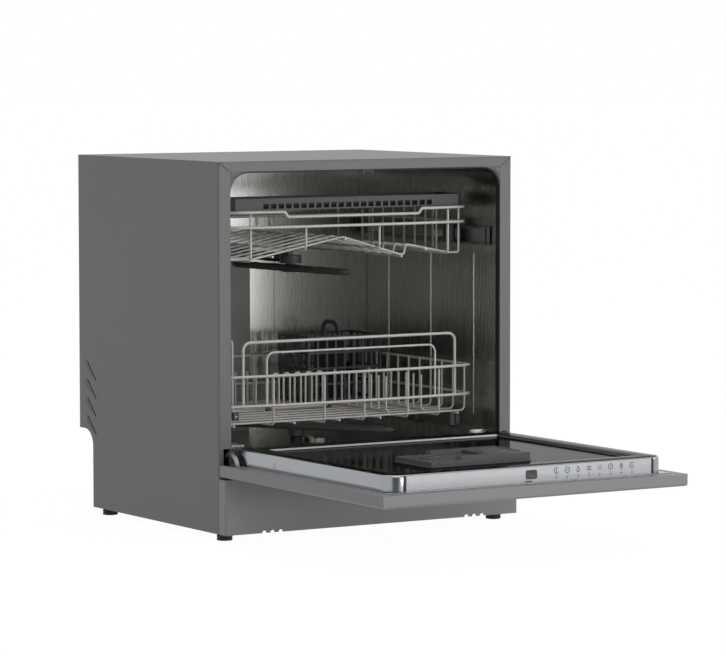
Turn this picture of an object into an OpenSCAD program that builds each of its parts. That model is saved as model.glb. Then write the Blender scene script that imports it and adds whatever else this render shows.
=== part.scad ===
// Countertop dishwasher with its door folded down and both racks pushed home.
// Millimetres, +Z up, +X to the right seen from the front, -Y towards the user.
// The origin is on the floor, in the middle of the box that the casing and the open door fill.

/* [Casing] */
// Width over the side panels
casing_w = 550; // [540:2:600]
// Height from the floor to the top panel
casing_h = 595; // [590:1:630]
// Depth of the casing behind the door
casing_d = 468; // [464:1:500]
// Thickness of the painted sheet
sheet_t = 1.2; // [0.8:0.1:1.5]
// Outside radius of the folded sheet edges
fold_r = 3; // [2:0.5:5]
// Width of the side panels' front flange
side_flange_w = 22; // [20:1:24]
// Height of the top panel's front flange
top_flange_h = 16; // [12:1:18]
// Open line between the mitred flanges
mitre_gap = 1; // [0.5:0.1:1.5]
// Length of a side louvre
louvre_l = 44; // [30:1:50]
// Width of a side louvre
louvre_w = 3; // [2:0.5:4]
// Upright distance between louvres
louvre_pitch = 30; // [26:1:34]
// Height of the top louvre's middle
louvre_top_z = 238; // [230:1:300]

/* [Base] */
// Height of a foot below the side panels
foot_h = 12; // [10:1:16]
// Radius of a foot
foot_r = 12.5; // [10:0.5:16]
// Top edge of the plinth above the floor
plinth_top = 99; // [85:1:100]
// How far the plinth stands in front of the casing
plinth_d = 20; // [12:1:20]
// Radius of the plinth's upright edges
plinth_r = 4; // [3:0.5:6]
// Radius of a vent notch in the plinth's lower edge
vent_r = 4; // [3:0.5:5]
// Distance between the notches of a group
vent_pitch = 15; // [11:1:18]
// Depth of the hose recess at the lower back
recess_d = 47; // [40:1:50]
// Height of the hose recess above the floor
recess_h = 141; // [140:1:146]
// Radius of the hose recess's upper front edge
recess_r = 28; // [24:1:30]
// Wall of the plastic base
base_t = 2.5; // [2:0.25:3]
// Height of the base's walls
base_top = 88; // [82:1:90]

/* [Tub] */
// Thickness of the tub's steel
tub_t = 1; // [0.8:0.1:1.5]
// How far the tub mouth lies outside the flange edge
tub_lap = 2.5; // [2:0.5:4]
// Radius of the tub's top corners
tub_r = 36; // [28:1:44]
// Space behind the tub
tub_back_gap = 48; // [47:1:52]
// Width of a wheel ledge
ledge_w = 42; // [40:1:46]
// Depth of the tub floor below the ledges
floor_drop = 24; // [20:1:25]
// Radius of the opening over the sump
sump_r = 62; // [50:1:66]
// Thickness of the mouth gasket
gasket_t = 3.5; // [2.5:0.1:3.5]
// Depth of the mouth gasket
gasket_d = 10; // [6:1:14]
// How far the pressed panels stand in from the rear wall
press_t = 1.5; // [1:0.25:2]

/* [Door] */
// Thickness of the outer panel
door_t = 19; // [16:1:19]
// Gap between the closed panel and the casing
door_gap = 1; // [0.8:0.1:2]
// How far the closed door's lower edge lies below its pivot
door_foot = 5; // [4:0.5:6]
// Distance from the closed door's upper edge to the casing's top
door_top_gap = 5; // [3:1:10]
// Hinge pivot in front of the casing
pivot_d = 7; // [6.8:0.1:8]
// Hinge pivot above the floor
pivot_z = 115; // [114:0.5:116]
// Steel of the outer panel
skin_t = 1.2; // [0.8:0.1:1.5]
// Radius of the panel's outer edges
panel_r = 4; // [3:0.5:6]
// Side clearance of the liner in the tub mouth
liner_gap = 2.5; // [2.2:0.1:4]
// Height of the liner above the outer panel
liner_h = 26.5; // [24:0.5:27]
// Radius of the liner's upper corners
liner_r = 28; // [20:1:34]
// Width of the panel's ledge in front of the liner
liner_setback = 22; // [18:1:26]
// Steel of the liner
liner_t = 1.2; // [0.8:0.1:1.5]
// Width of the liner's rim at the sides
rim_w = 38; // [36:1:42]
// Depth of the liner's pressed field
field_drop = 4; // [2:0.5:5]
// Width of the control strip
strip_w = 444; // [420:2:446]
// Width of the latch mouth
latch_w = 22; // [18:1:28]

/* [Dispenser] */
// Width of the dispenser body
disp_w = 180; // [170:1:200]
// Length of the dispenser body along the door
disp_l = 100; // [90:1:110]
// Height of the dispenser above the liner's field
disp_h = 14; // [12:0.5:14.5]
// Width of the powder cup
cup_w = 58; // [40:1:62]
// Depth of the powder cup
cup_depth = 24; // [16:1:24]
// Radius of the rinse aid cap
cap_r = 15; // [12:1:18]

/* [Racks] */
// Clear distance from the casing's front to a rack that is pushed home
rack_home = 42; // [40:0.5:44]
// Space between the lower rack and the tub's rear wall
lower_back_gap = 15; // [15:1:20]
// Space between the lower rack's rails and the tub's side walls
lower_side_gap = 21.5; // [16:0.5:26]
// Height of the lower rack's floor wires above the wheel ledges
lower_rise = 28.5; // [28.5:0.5:30]
// Height of the lower rack's lower rail above its floor wires
rail_low_rise = 29; // [22:1:36]
// Height of the lower rack's upper rail above its floor wires
rail_high_rise = 76; // [64:1:86]
// Height of the tall front hoop above the floor wires
hoop_rise = 130; // [114:1:130]
// Space between the upper rack and the tub's rear wall
upper_back_gap = 22; // [20:1:30]
// Space between the upper rack's rails and the tub's side walls
upper_side_gap = 33.5; // [32.5:0.5:35]
// Depth of the upper rack's floor edges below the casing's top
upper_drop = 158; // [156:0.5:159]
// Height of the upper rack's middle rail above its floor edges
mid_rail_rise = 51; // [45:1:57]
// Height of the upper rack's top rail above its floor edges
top_rail_rise = 75; // [70:1:76]
// Rise of the upper rack's tent floor
tent_rise = 31; // [24:1:34]
// Radius of the rail wires
rail_r = 2.4; // [2:0.1:2.6]
// Radius of the other wires
wire_r = 1.8; // [1.5:0.1:2]
// How far crossing wires are pressed together at a weld
weld = 0.3; // [0.2:0.05:0.4]
// Inside bend radius of the wires
bend_r = 8; // [6:1:10]
// Height of the plate tines
tine_h = 57; // [45:1:65]
// Distance between plate tines
tine_pitch = 23; // [20:1:26]
// Height of the stemware rest's bar above its hinge
stem_h = 121; // [100:1:121]
// Radius of a rack wheel
wheel_r = 12; // [10:0.5:12]
// Width of a rack wheel
wheel_w = 13; // [10:0.5:13]
// Height of the cutlery basket
basket_h = 112; // [90:1:120]
// Width of the cutlery basket
basket_w = 145; // [130:5:145]
// Depth of the cutlery basket
basket_d = 98; // [80:2:98]
// Height of the cutlery shelf
shelf_h = 19; // [16:1:22]
// Depth of the cutlery shelf
shelf_d = 86; // [76:1:100]

/* [Rails and spray arms] */
// Height of the telescopic rails' middle above the upper rack's floor edges
slide_rise = 27; // [24:1:29]
// Outside height of the fixed channel
slide_h = 30; // [28:1:30]
// Steel of the telescopic rails
slide_t = 1.2; // [1:0.1:1.4]
// Reach of the upper spray arm
upper_arm_r = 158; // [140:1:158]
// Reach of the lower spray arm
lower_arm_r = 176; // [150:1:178]
// Thickness of a spray arm
arm_t = 11; // [9:0.5:12]
// Width of a spray arm at its hub
arm_w = 34; // [28:1:40]
// Radius of the feed pipe under the upper rack
feed_r = 8; // [6:0.5:8]

/* [Connections] */
// Radius of the threaded water inlet
inlet_r = 13.2; // [10:0.1:13.5]
// Length of the threaded water inlet behind the base
inlet_l = 24; // [16:1:30]
// Radius of the drain spigot
drain_r = 9.5; // [8:0.1:11]
// Length of the drain spigot behind the base
drain_l = 28; // [20:1:34]

/* [Hidden] */
$fn = 48;
running = 0.4;
hw = casing_w / 2;
flange_in = hw - side_flange_w;
door_top_z = casing_h - door_top_gap;
door_reach = door_top_z - pivot_z + pivot_d;
front_y = (door_reach - casing_d) / 2;
plate_top = casing_h - sheet_t;
recess_y = casing_d - recess_d;
tub_hw = flange_in + tub_lap;
tub_top = casing_h - top_flange_h + 1;
tub_back = casing_d - tub_back_gap;
tub_low = pivot_z + 11;
panel_low = pivot_z - door_gap - door_t + pivot_d;
panel_top = panel_low + door_t;
track_z = panel_top + liner_h;
floor_z = track_z - floor_drop;
ledge_x = tub_hw - ledge_w;
ledge_y = 29;
lip_z = pivot_z + 2;
bowl_y = (ledge_y + tub_back) / 2;
hinge_end = -pivot_d + door_foot;
liner_hw = flange_in - liner_gap;
liner_y0 = -13;
liner_y1 = -door_reach + liner_setback;
liner_top = panel_top + liner_h;
field_z = liner_top - field_drop;
lip_w = hw - liner_hw - 3.5;
disp_x0 = -120;
disp_y = -320;
cup_x = 22;
cap_x = -92;
wf = wire_r * cos(22.5);
rf = rail_r * cos(22.5);
rack_y = rack_home;
lower_y1 = tub_back - lower_back_gap;
upper_y1 = tub_back - upper_back_gap;
lower_hw = tub_hw - lower_side_gap;
upper_hw = tub_hw - upper_side_gap;
lower_z = track_z + lower_rise;
rail_low_z = lower_z + rail_low_rise;
rail_high_z = lower_z + rail_high_rise;
hoop_z = lower_z + hoop_rise;
upper_z = casing_h - upper_drop;
mid_rail_z = upper_z + mid_rail_rise;
top_rail_z = upper_z + top_rail_rise;
slide_z = upper_z + slide_rise;
lower_yz = lower_z - 2 * wf + weld;
lower_in = lower_hw - rf - wf + weld;
upper_in = upper_hw - rf - wf + weld;
cross_n = 10;
corner_d = 26;
cross_y0 = rack_y + corner_d + 3;
cross_pitch = (lower_y1 - corner_d - 3 - cross_y0) / (cross_n - 1);
upper_pitch = (upper_y1 - corner_d - 3 - cross_y0) / (cross_n - 1);
wide = lower_hw / 234;
front_x = wide * [-147, -54, 21, 104, 167];
short_x = concat(22 - lower_hw, wide * [-100, -16, 62], lower_hw - 22);
wheel_y = [rack_y + 45, rack_y + 153, lower_y1 - 3];
wheel_z = track_z + 0.5 + wheel_r;
wheel_x = lower_hw - 11;
arm_y = bowl_y + 18.5;
arm_z = upper_z - 28;
feed_z = upper_z - 2 - wire_r - feed_r + 0.3;
riser_d = 12;
basket_x = wide * 60 + basket_w / 2;
inlet_x = 70 - hw;
drain_x = 135 - hw;
cord_x = hw - 75;
hose_z = 62;
collar_t = 2;
softener_x = 105 - hw;
softener_y = 112;
softener_top = floor_z - 14.5;
basket_y = lower_y1 - 21 - basket_d / 2;

// Moves a piece drawn with the casing's front at y = 0 to the shared origin.
module at_front() translate([0, front_y, 0]) children();

// Repeats a piece drawn on the right at the left as well.
module both_sides() { children(); mirror([1, 0, 0]) children(); }

// Rounded rectangle about its middle.
module round_rect(w, h, r) {
    square([w, h - 2 * r], center = true);
    square([w - 2 * r, h], center = true);
    for (x = [-1, 1], y = [-1, 1]) translate([x * (w / 2 - r), y * (h / 2 - r)]) circle(r);
}

// Sheet folded at the origin: a leg of length a along x and one of length b along y.
module fold(a, b, r, t) {
    translate([r, 0]) square([a - r, t]);
    translate([0, r]) square([t, b - r]);
    translate([r, r]) intersection() {
        difference() { circle(r); circle(r - t); }
        translate([-r, -r]) square(r);
    }
}

// Straight wire with eight flat sides between two points.
module rod(p, q, r) {
    d = q - p;
    l = norm(d);
    translate(p) rotate([0, acos(d[2] / l), atan2(d[1], d[0])])
        rotate(22.5) cylinder(r = r, h = l, $fn = 8);
}

// Turn at point i of a flat path, in degrees, left turns positive.
function heading(p, q) = atan2(q[1] - p[1], q[0] - p[0]);
function turn(path, i) =
    let (a = heading(path[i], path[i + 1]) - heading(path[i - 1], path[i])) a > 180 ? a - 360 : a < -180 ? a + 360 : a;

// Points of the bend at point i of a flat path.
function bend_points(path, i, bend) =
    let (
        a = turn(path, i),
        h = heading(path[i - 1], path[i]),
        side = a > 0 ? 1 : -1,
        n = max(1, ceil(abs(a) / 30)),
        start = path[i] - [cos(h), sin(h)] * bend * tan(abs(a) / 2),
        centre = start + [-sin(h), cos(h)] * side * bend)
    [for (k = [0 : n]) centre + bend * side * [sin(h + k * a / n), -cos(h + k * a / n)]];
function bent(path, bend) = [
    path[0],
    for (i = [1 : 1 : len(path) - 2]) each bend_points(path, i, bend),
    path[len(path) - 1]];

// Wire along points in the XY plane; its straight lengths overlap a little where they meet.
module chain(points, r) {
    last = len(points) - 2;
    lap = r * tan(15);
    for (i = [0 : last]) {
        d = points[i + 1] - points[i];
        if (norm(d) > 0.01) {
            p = points[i] - (i > 0 ? lap : 0) * d / norm(d);
            q = points[i + 1] + (i < last ? lap : 0) * d / norm(d);
            rod([p[0], p[1], 0], [q[0], q[1], 0], r);
        }
    }
}
module wire(path, r, bend) chain(bent(path, bend), r);

// Turns a flat path upright: across the machine, or from front to back.
module upright_x() rotate([90, 0, 0]) children();
module upright_y() rotate([90, 0, 90]) children();

// Side panel, drawn on the left.
module side_shell() {
    slope = top_flange_h / side_flange_w;
    color([0.38, 0.375, 0.38]) difference() {
        union() {
            translate([-hw, 0, foot_h]) linear_extrude(plate_top - foot_h)
                fold(side_flange_w, casing_d - sheet_t, fold_r, sheet_t);
            translate([-hw, casing_d - 2 * sheet_t, recess_h + 2 * sheet_t])
                cube([14, sheet_t, plate_top - recess_h - 2 * sheet_t]);
        }
        translate([0, fold_r + 1, 0]) upright_x() linear_extrude(fold_r + 2) polygon([
            [-hw + sheet_t, casing_h - sheet_t * slope - mitre_gap],
            [-hw + sheet_t, casing_h],
            [-flange_in + 1, casing_h],
            [-flange_in + 1, casing_h - (side_flange_w + 1) * slope - mitre_gap]]);
        translate([-hw - 1, 0, 0]) upright_y() linear_extrude(sheet_t + 20) recess_outline();
        for (i = [0 : 3]) translate([-hw, recess_y + 3.5, louvre_top_z - i * louvre_pitch])
            rotate([-45, 0, 0]) upright_y() linear_extrude(3 * sheet_t, center = true)
                round_rect(louvre_w, louvre_l, louvre_w / 2 - 0.01);
        translate([-hw + 8, -1, foot_h + 88]) cube([13, sheet_t + 2, 46]);
    }
}

// Outline of the hose recess in the side view.
module recess_outline() {
    square_y = recess_y + recess_r;
    translate([square_y, 0]) square([recess_d, recess_h]);
    translate([recess_y, 0]) square([recess_d, recess_h - recess_r]);
    translate([square_y, recess_h - recess_r]) circle(recess_r);
}

module side_panel_left() at_front() side_shell();
module side_panel_right() at_front() mirror([1, 0, 0]) side_shell();

module top_panel() color([0.55, 0.535, 0.52]) at_front() difference() {
    slope = top_flange_h / side_flange_w;
    translate([-hw, 0, casing_h]) upright_y() linear_extrude(casing_w)
        mirror([0, 1]) fold(casing_d, top_flange_h, fold_r, sheet_t);
    both_sides() translate([0, fold_r + 1, 0]) upright_x() linear_extrude(fold_r + 2) polygon([
        [hw + 1, casing_h + slope],
        [hw + 1, casing_h - top_flange_h - 1],
        [flange_in - 1, casing_h - top_flange_h - 1],
        [flange_in - 1, casing_h - (side_flange_w + 1) * slope],
        [hw - sheet_t / slope, plate_top],
        [hw + 1, plate_top]]);
}

module back_panel() color([0.36, 0.36, 0.37]) at_front() {
    z0 = recess_h;
    difference() {
        translate([-hw, casing_d - sheet_t, z0]) cube([casing_w, sheet_t, plate_top - z0]);
        for (x = [-150, 150], i = [0 : 6])
            translate([x, casing_d, z0 + 60 + 12 * i]) upright_x()
                linear_extrude(3 * sheet_t, center = true) round_rect(90, 4, 1.99);
        translate([0, casing_d, plate_top - 60]) upright_x()
            linear_extrude(3 * sheet_t, center = true) round_rect(160, 26, 12);
    }
    translate([-hw + sheet_t, recess_y + recess_r, z0])
        cube([casing_w - 2 * sheet_t, recess_d - recess_r - sheet_t, sheet_t]);
}

module base_tray() color([0.16, 0.16, 0.17]) at_front() {
    w = casing_w - 2 * sheet_t;
    z0 = foot_h + 2;
    difference() {
        union() {
            translate([-w / 2, fold_r, z0]) cube([w, recess_y - fold_r, base_t]);
            translate([-w / 2, fold_r, z0]) cube([w, base_t, base_top - z0]);
            translate([-w / 2, recess_y - base_t, z0]) cube([w, base_t, recess_h - recess_r - z0]);
            both_sides() translate([w / 2 - base_t, fold_r, z0]) cube([base_t, recess_y - fold_r, base_top - z0]);
        }
        for (p = [[inlet_x, inlet_r], [drain_x, drain_r], [cord_x, 8]]) translate([p[0], recess_y, hose_z])
            rotate([90, 0, 0]) cylinder(r = p[1] + 0.3, h = 20, center = true);
    }
    translate([-w / 2, recess_y + recess_r, recess_h - recess_r]) upright_y() linear_extrude(w)
        intersection() {
            difference() { circle(recess_r + base_t); circle(recess_r); }
            translate([-recess_r - base_t, 0]) square(recess_r + base_t);
        }
    for (x = [-1, 1], y = [60, tub_back - 40]) translate([x * (tub_hw - 20), y, z0 + base_t])
        cylinder(r = 8, h = track_z - 1.2 - z0 - base_t);
}

module plinth() color([0.42, 0.405, 0.41]) at_front() difference() {
    translate([0, 0, foot_h]) linear_extrude(plinth_top - foot_h) both_sides()
        translate([-hw, -plinth_d]) fold(hw, plinth_d, plinth_r, sheet_t);
    for (s = [-1, 1], i = [-1 : 1]) translate([s * (hw - 85) + i * vent_pitch, -plinth_d, foot_h])
        rotate([90, 0, 0]) cylinder(r = vent_r, h = 4 * sheet_t, center = true);
}

module levelling_feet() color([0.1, 0.1, 0.1]) at_front()
    for (x = [-1, 1], y = [20, recess_y - 20]) translate([x * (hw - 21), y, 0]) {
        cylinder(r = foot_r, h = foot_h - 3);
        cylinder(r = 5, h = foot_h + 2);
    }

// Arch outline of the tub mouth, open at the foot.
module arch(half, top, r, low) {
    translate([-half, low]) square([2 * half, top - r - low]);
    translate([-half + r, low]) square([2 * (half - r), top - low]);
    for (x = [-1, 1]) translate([x * (half - r), top - r]) circle(r);
}

module tub_wrapper() color([0.47, 0.47, 0.46]) at_front() {
    translate([0, tub_back, 0]) upright_x() linear_extrude(tub_back - 2) difference() {
        arch(tub_hw + tub_t, tub_top + tub_t, tub_r + tub_t, tub_low);
        arch(tub_hw, tub_top, tub_r, tub_low - 1);
    }
    both_sides() for (y = [81, 211, 343]) translate([tub_hw, y, track_z + 20]) intersection() {
        cylinder(r = press_t, h = slide_z - slide_h - track_z - 20);
        translate([-5, -5, 0]) cube([5, 10, slide_z]);
    }
}

module tub_rear_wall() color([0.42, 0.42, 0.41]) at_front() {
    translate([0, tub_back + tub_t, 0]) upright_x() linear_extrude(tub_t)
        arch(tub_hw + tub_t, tub_top + tub_t, tub_r + tub_t, tub_low + 1);
    low = track_z + 12;
    high = tub_top - 61;
    translate([0, tub_back, 0]) upright_x() linear_extrude(press_t) {
        both_sides() translate([126, (low + high) / 2]) round_rect(106, high - low, 8);
        both_sides() translate([(223 + tub_hw - 4) / 2, (low + high) / 2])
            round_rect(tub_hw - 4 - 223, high - low, 8);
    }
}

module tub_floor() color([0.45, 0.45, 0.44]) at_front() {
    t = 1.2;
    difference() {
        translate([0, tub_back, 0]) upright_x() linear_extrude(tub_back - ledge_y) polygon([
            [-tub_hw, track_z], [-ledge_x, track_z], [-ledge_x, floor_z],
            [ledge_x, floor_z], [ledge_x, track_z], [tub_hw, track_z],
            [tub_hw, track_z - t], [ledge_x + t, track_z - t], [ledge_x + t, floor_z - t],
            [-ledge_x - t, floor_z - t], [-ledge_x - t, track_z - t], [-tub_hw, track_z - t]]);
        translate([0, bowl_y, floor_z]) cylinder(r = sump_r, h = 10, center = true);
        translate([softener_x, softener_y, floor_z]) cylinder(r = 26, h = 10, center = true);
    }
    translate([-ledge_x, tub_back - t, floor_z]) cube([2 * ledge_x, t, 12]);
    translate([0, ledge_y, 0]) upright_x() linear_extrude(t) polygon([
        [-tub_hw, track_z], [-ledge_x, track_z], [-ledge_x, floor_z],
        [ledge_x, floor_z], [ledge_x, track_z], [tub_hw, track_z], [tub_hw, lip_z - t], [-tub_hw, lip_z - t]]);
    translate([-tub_hw, 2, lip_z - t]) cube([2 * tub_hw, ledge_y - 2 - t, t]);
    both_sides() translate([tub_hw - t, 2, lip_z]) cube([t, ledge_y - 2 - t, 22]);
}

module door_gasket() color([0.08, 0.08, 0.08]) at_front()
    translate([0, 2 + gasket_d, 0]) upright_x() linear_extrude(gasket_d) difference() {
        arch(tub_hw - 0.3, tub_top - 0.3, tub_r - 0.3, tub_low + 14);
        arch(tub_hw - gasket_t, tub_top - gasket_t, tub_r - gasket_t, tub_low + 13);
    }

module latch_striker() color([0.07, 0.07, 0.07]) at_front()
    translate([-latch_w / 2, 0.6, casing_h - top_flange_h - 7]) difference() {
        cube([latch_w, 1.3, 7]);
        translate([latch_w / 4, -1, -1]) cube([latch_w / 2, 4, 4]);
    }

module hinge_brackets() color([0.2, 0.2, 0.21]) at_front() both_sides() {
    translate([hw - 13, 0, 0]) upright_y() linear_extrude(2.5) {
        translate([-pivot_d, pivot_z]) circle(4.6);
        translate([-pivot_d, pivot_z - 4.6]) square([60, 9.2]);
        translate([8, pivot_z - 9]) square([45, 32]);
    }
    translate([hw - 10.5, 12, pivot_z - 9]) cube([10.5 - sheet_t, 36, 32]);
    translate([hw - 19.5, -pivot_d, pivot_z]) rotate([0, 90, 0]) cylinder(r = 2.5, h = 7);
}

module door_springs() color([0.6, 0.6, 0.6]) at_front() both_sides()
    translate([hw - 16, 62, foot_h + 40]) rotate([-90, 0, 0]) {
        cylinder(r = 7, h = 110);
        translate([0, 0, -12]) cylinder(r = 1.5, h = 134);
    }

module sump() color([0.18, 0.18, 0.19]) at_front() translate([0, bowl_y, 0]) {
    top = floor_z - 1.2;
    difference() {
        union() {
            translate([0, 0, 50]) cylinder(r = sump_r + 1, h = top - 50);
            translate([0, 0, top - 3]) cylinder(r = sump_r + 12, h = 3);
            rotate([0, 90, 0]) translate([-62, 0, 50]) cylinder(r = 14, h = 30);
        }
        translate([0, 0, 53]) cylinder(r = sump_r - 2, h = top);
    }
    translate([0, 0, 52]) cylinder(r = 10, h = floor_z + 8 - 52);
    translate([0, 0, floor_z]) cylinder(r = 7, h = 28);
}

module filter_cup() color([0.5, 0.5, 0.5]) at_front() translate([0, bowl_y, 0]) {
    difference() {
        translate([0, 0, floor_z - 1.2]) cylinder(r = sump_r - 3, h = 1.2);
        translate([0, 0, floor_z - 2]) cylinder(r = 10.5, h = 4);
        translate([36, 0, floor_z - 2]) cylinder(r = 20, h = 4);
    }
    difference() {
        translate([36, 0, 56]) cylinder(r = 21, h = floor_z + 5 - 56);
        translate([36, 0, 58]) cylinder(r = 19, h = floor_z);
    }
}

module circulation_pump() color([0.3, 0.3, 0.32]) at_front() translate([82, bowl_y, 62]) rotate([0, 90, 0]) {
    cylinder(r = 36, h = 34);
    translate([0, 0, 34]) cylinder(r = 30, h = 52);
    translate([0, 0, 86]) cylinder(r = 22, h = 14);
}

module drain_pump() color([0.25, 0.25, 0.27]) at_front() translate([-64, bowl_y, 46]) rotate([0, -90, 0]) {
    cylinder(r = 24, h = 16);
    translate([0, 0, 16]) cylinder(r = 17, h = 40);
}

// Pin with a narrower neck through the base's wall, a collar behind that wall and a free length l.
module hose_pin(r, l, neck) rotate([-90, 0, 0]) {
    translate([0, 0, -neck]) cylinder(r = r - 1, h = neck);
    cylinder(r = r + 4, h = collar_t);
    cylinder(r = r, h = collar_t + l);
}

module water_inlet_valve() color([0.75, 0.75, 0.72]) at_front() translate([inlet_x, recess_y, hose_z]) {
    translate([-18, -54, -17]) cube([36, 50, 34]);
    hose_pin(inlet_r, inlet_l, 5);
}

module drain_spigot() color([0.2, 0.2, 0.2]) at_front() translate([drain_x, recess_y, hose_z]) {
    translate([0, -base_t, 0]) rotate([90, 0, 0]) cylinder(r = drain_r + 5, h = 4);
    hose_pin(drain_r, drain_l, base_t + 2);
}

module cord_gland() color([0.07, 0.07, 0.07]) at_front() translate([cord_x, recess_y, hose_z]) rotate([-90, 0, 0]) {
    translate([0, 0, -base_t]) cylinder(r = 8, h = base_t);
    cylinder(r = 12, h = 3);
    translate([0, 0, 3]) cylinder(r1 = 9, r2 = 6, h = 12, $fn = 32);
}

module water_softener() color([0.85, 0.85, 0.82]) at_front() {
    translate([softener_x - 52, softener_y - 72, foot_h + 5]) cube([112, 150, softener_top - foot_h - 5]);
    translate([softener_x, softener_y, softener_top]) cylinder(r = 24, h = floor_z - softener_top);
}

module salt_cap() color([0.22, 0.22, 0.23]) at_front() translate([softener_x, softener_y, floor_z]) {
    cylinder(r = 27.5, h = 7);
    translate([0, 0, 7]) linear_extrude(4) round_rect(40, 8, 3);
}

// The riser stands on the floor in front of its rear upstand and leans on the rear wall above it.
module riser_pipe() color([0.25, 0.25, 0.26]) at_front() {
    step = 12.4;
    translate([0, tub_back - riser_d / 2, floor_z + step]) linear_extrude(feed_z + 14 - floor_z - step)
        round_rect(40, riser_d, 3);
    translate([-17, tub_back - riser_d, floor_z + 0.2]) cube([34, riser_d - 1.5, step - 0.2]);
}

// Channel of a telescopic rail: its web at x, its flanges w wide and its outside height h.
module channel(x, w, h, y0, y1) {
    translate([x - slide_t, y0, slide_z - h / 2]) cube([slide_t, y1 - y0, h]);
    for (z = [slide_z - h / 2, slide_z + h / 2 - slide_t])
        translate([x - w, y0, z]) cube([w, y1 - y0, slide_t]);
}

slide_x = liner_hw + 2.3;
slide_step = 2 * (slide_t + 0.8);

module rail_channels() color([0.6, 0.6, 0.6]) at_front() both_sides() {
    channel(slide_x, 12.8, slide_h, 30, tub_back - 20);
    for (y = [50, 200, 350]) translate([slide_x, y, slide_z - 8]) cube([tub_hw - slide_x, 20, 16]);
}

module rail_middles() color([0.66, 0.66, 0.66]) at_front() both_sides()
    channel(slide_x - slide_t - 1.3, 11.8, slide_h - slide_step, 40, tub_back - 30);

module rail_inners() color([0.66, 0.66, 0.66]) at_front() both_sides() {
    x = slide_x - 2 * (slide_t + 1.3);
    y = rack_y + 89;
    channel(x, 10.8, slide_h - 2 * slide_step, y, tub_back - 30);
    color([0.22, 0.22, 0.23]) {
        translate([x - 10.8 - 11, y - 19, slide_z - 12]) cube([11 + 0.6, 19, 38]);
        translate([x - 10.8, y - 8, slide_z - (slide_h - 2 * slide_step) / 2])
            cube([10.8, 8, slide_h - 2 * slide_step]);
        for (b = [y + 20, tub_back - 70]) {
            translate([upper_hw + rf, b, slide_z - 22]) cube([2.4, 16, 74]);
            translate([upper_hw + rf, b, slide_z - 5]) cube([x - upper_hw - rf - slide_t, 16, 10]);
        }
    }
}

// Solid of the door's outer panel, d smaller on every side. Its long edges are rounded,
// also the inner edge at the hinge, which swings past the casing.
module panel_block(d) {
    y0 = hinge_end - d;
    y1 = -door_reach + d;
    w = hw - d;
    z0 = panel_low + d;
    h = door_t - 2 * d;
    r = panel_r - d;
    intersection() {
        translate([0, y0, 0]) upright_x() linear_extrude(y0 - y1) {
            translate([-w, z0 + r]) square([2 * w, h - r]);
            translate([-w + r, z0]) square([2 * (w - r), h]);
            for (x = [-1, 1]) translate([x * (w - r), z0 + r]) circle(r);
        }
        translate([-w, 0, 0]) upright_y() linear_extrude(2 * w) {
            translate([y1, z0 + r]) square([y0 - y1 - r, h - r]);
            translate([y1 + r, z0]) square([y0 - y1 - 2 * r, h]);
            translate([y1 + r, z0 + r]) square([y0 - y1 - r, h - 2 * r]);
            for (p = [[y1 + r, z0 + r], [y0 - r, z0 + r], [y0 - r, z0 + h - r]]) translate(p) circle(r);
        }
    }
}

module door_outer_panel() color([0.5, 0.49, 0.49]) at_front() difference() {
    panel_block(0);
    panel_block(skin_t);
    translate([-hw + lip_w, -door_reach + lip_w, panel_top - 3])
        cube([2 * (hw - lip_w), door_reach - 2 * lip_w + hinge_end, 6]);
    both_sides() translate([hw - 20.5, -36, panel_low + 2])
        cube([13.5, 37, door_t]);
}

// Outline of the liner in the top view, d smaller on every side.
module liner_outline(d) {
    w = 2 * (liner_hw - d);
    y0 = liner_y0 - d;
    y1 = liner_y1 + d;
    r = liner_r - d;
    translate([-w / 2, y1 + r]) square([w, y0 - y1 - r]);
    translate([-w / 2 + r, y1]) square([w - 2 * r, y0 - y1]);
    for (x = [-1, 1]) translate([x * (w / 2 - r), y1 + r]) circle(r);
}

module disp_hole() translate([disp_x0, disp_y - disp_l / 2]) square([disp_w, disp_l]);

module door_liner() color([0.66, 0.66, 0.66]) at_front() {
    field_y = (liner_y0 + liner_y1) / 2;
    field_w = 2 * (liner_hw - rim_w);
    field_l = liner_y0 - liner_y1 - 68;
    difference() {
        translate([0, 0, panel_top]) linear_extrude(liner_h) liner_outline(0);
        translate([0, 0, panel_top - 1]) linear_extrude(liner_h + 1 - liner_t) liner_outline(liner_t);
        translate([0, field_y, liner_top - 5]) linear_extrude(10) round_rect(field_w, field_l, 20);
        translate([-strip_w / 2 - 4, liner_y1 - 1, panel_top + 1.5]) cube([strip_w + 8, 4, liner_h - 3]);
    }
    translate([0, 0, field_z - liner_t]) linear_extrude(liner_t) difference() {
        translate([0, field_y]) round_rect(field_w + 2 * liner_t, field_l + 2 * liner_t, 20 + liner_t);
        disp_hole();
    }
    translate([0, field_y, field_z - liner_t]) linear_extrude(field_drop + liner_t) difference() {
        round_rect(field_w + 2 * liner_t, field_l + 2 * liner_t, 20 + liner_t);
        round_rect(field_w, field_l, 20);
    }
    translate([0, 0, panel_top]) linear_extrude(1) difference() {
        union() {
            liner_outline(-5.5 + 5);
            translate([-liner_hw - 5, -door_reach + 8]) square([2 * liner_hw + 10, door_reach - 8 + liner_y0]);
        }
        liner_outline(liner_t);
    }
}

module control_strip() color([0.74, 0.74, 0.75]) at_front() difference() {
    translate([-strip_w / 2, liner_y1, panel_top + 1.5]) cube([strip_w, 3, liner_h - 3]);
    translate([0, liner_y1 + 4, panel_top + 13]) upright_x()
        linear_extrude(6) round_rect(latch_w + 0.4, 14.4, 3.2);
}

module latch_mouth() color([0.2, 0.2, 0.21]) at_front() translate([0, liner_y1, panel_top + 13]) difference() {
    translate([0, 14, 0]) upright_x() linear_extrude(14) round_rect(latch_w, 14, 3);
    translate([-latch_w / 2 + 3, -1, -3]) cube([latch_w - 6, 9, 5]);
}

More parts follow.
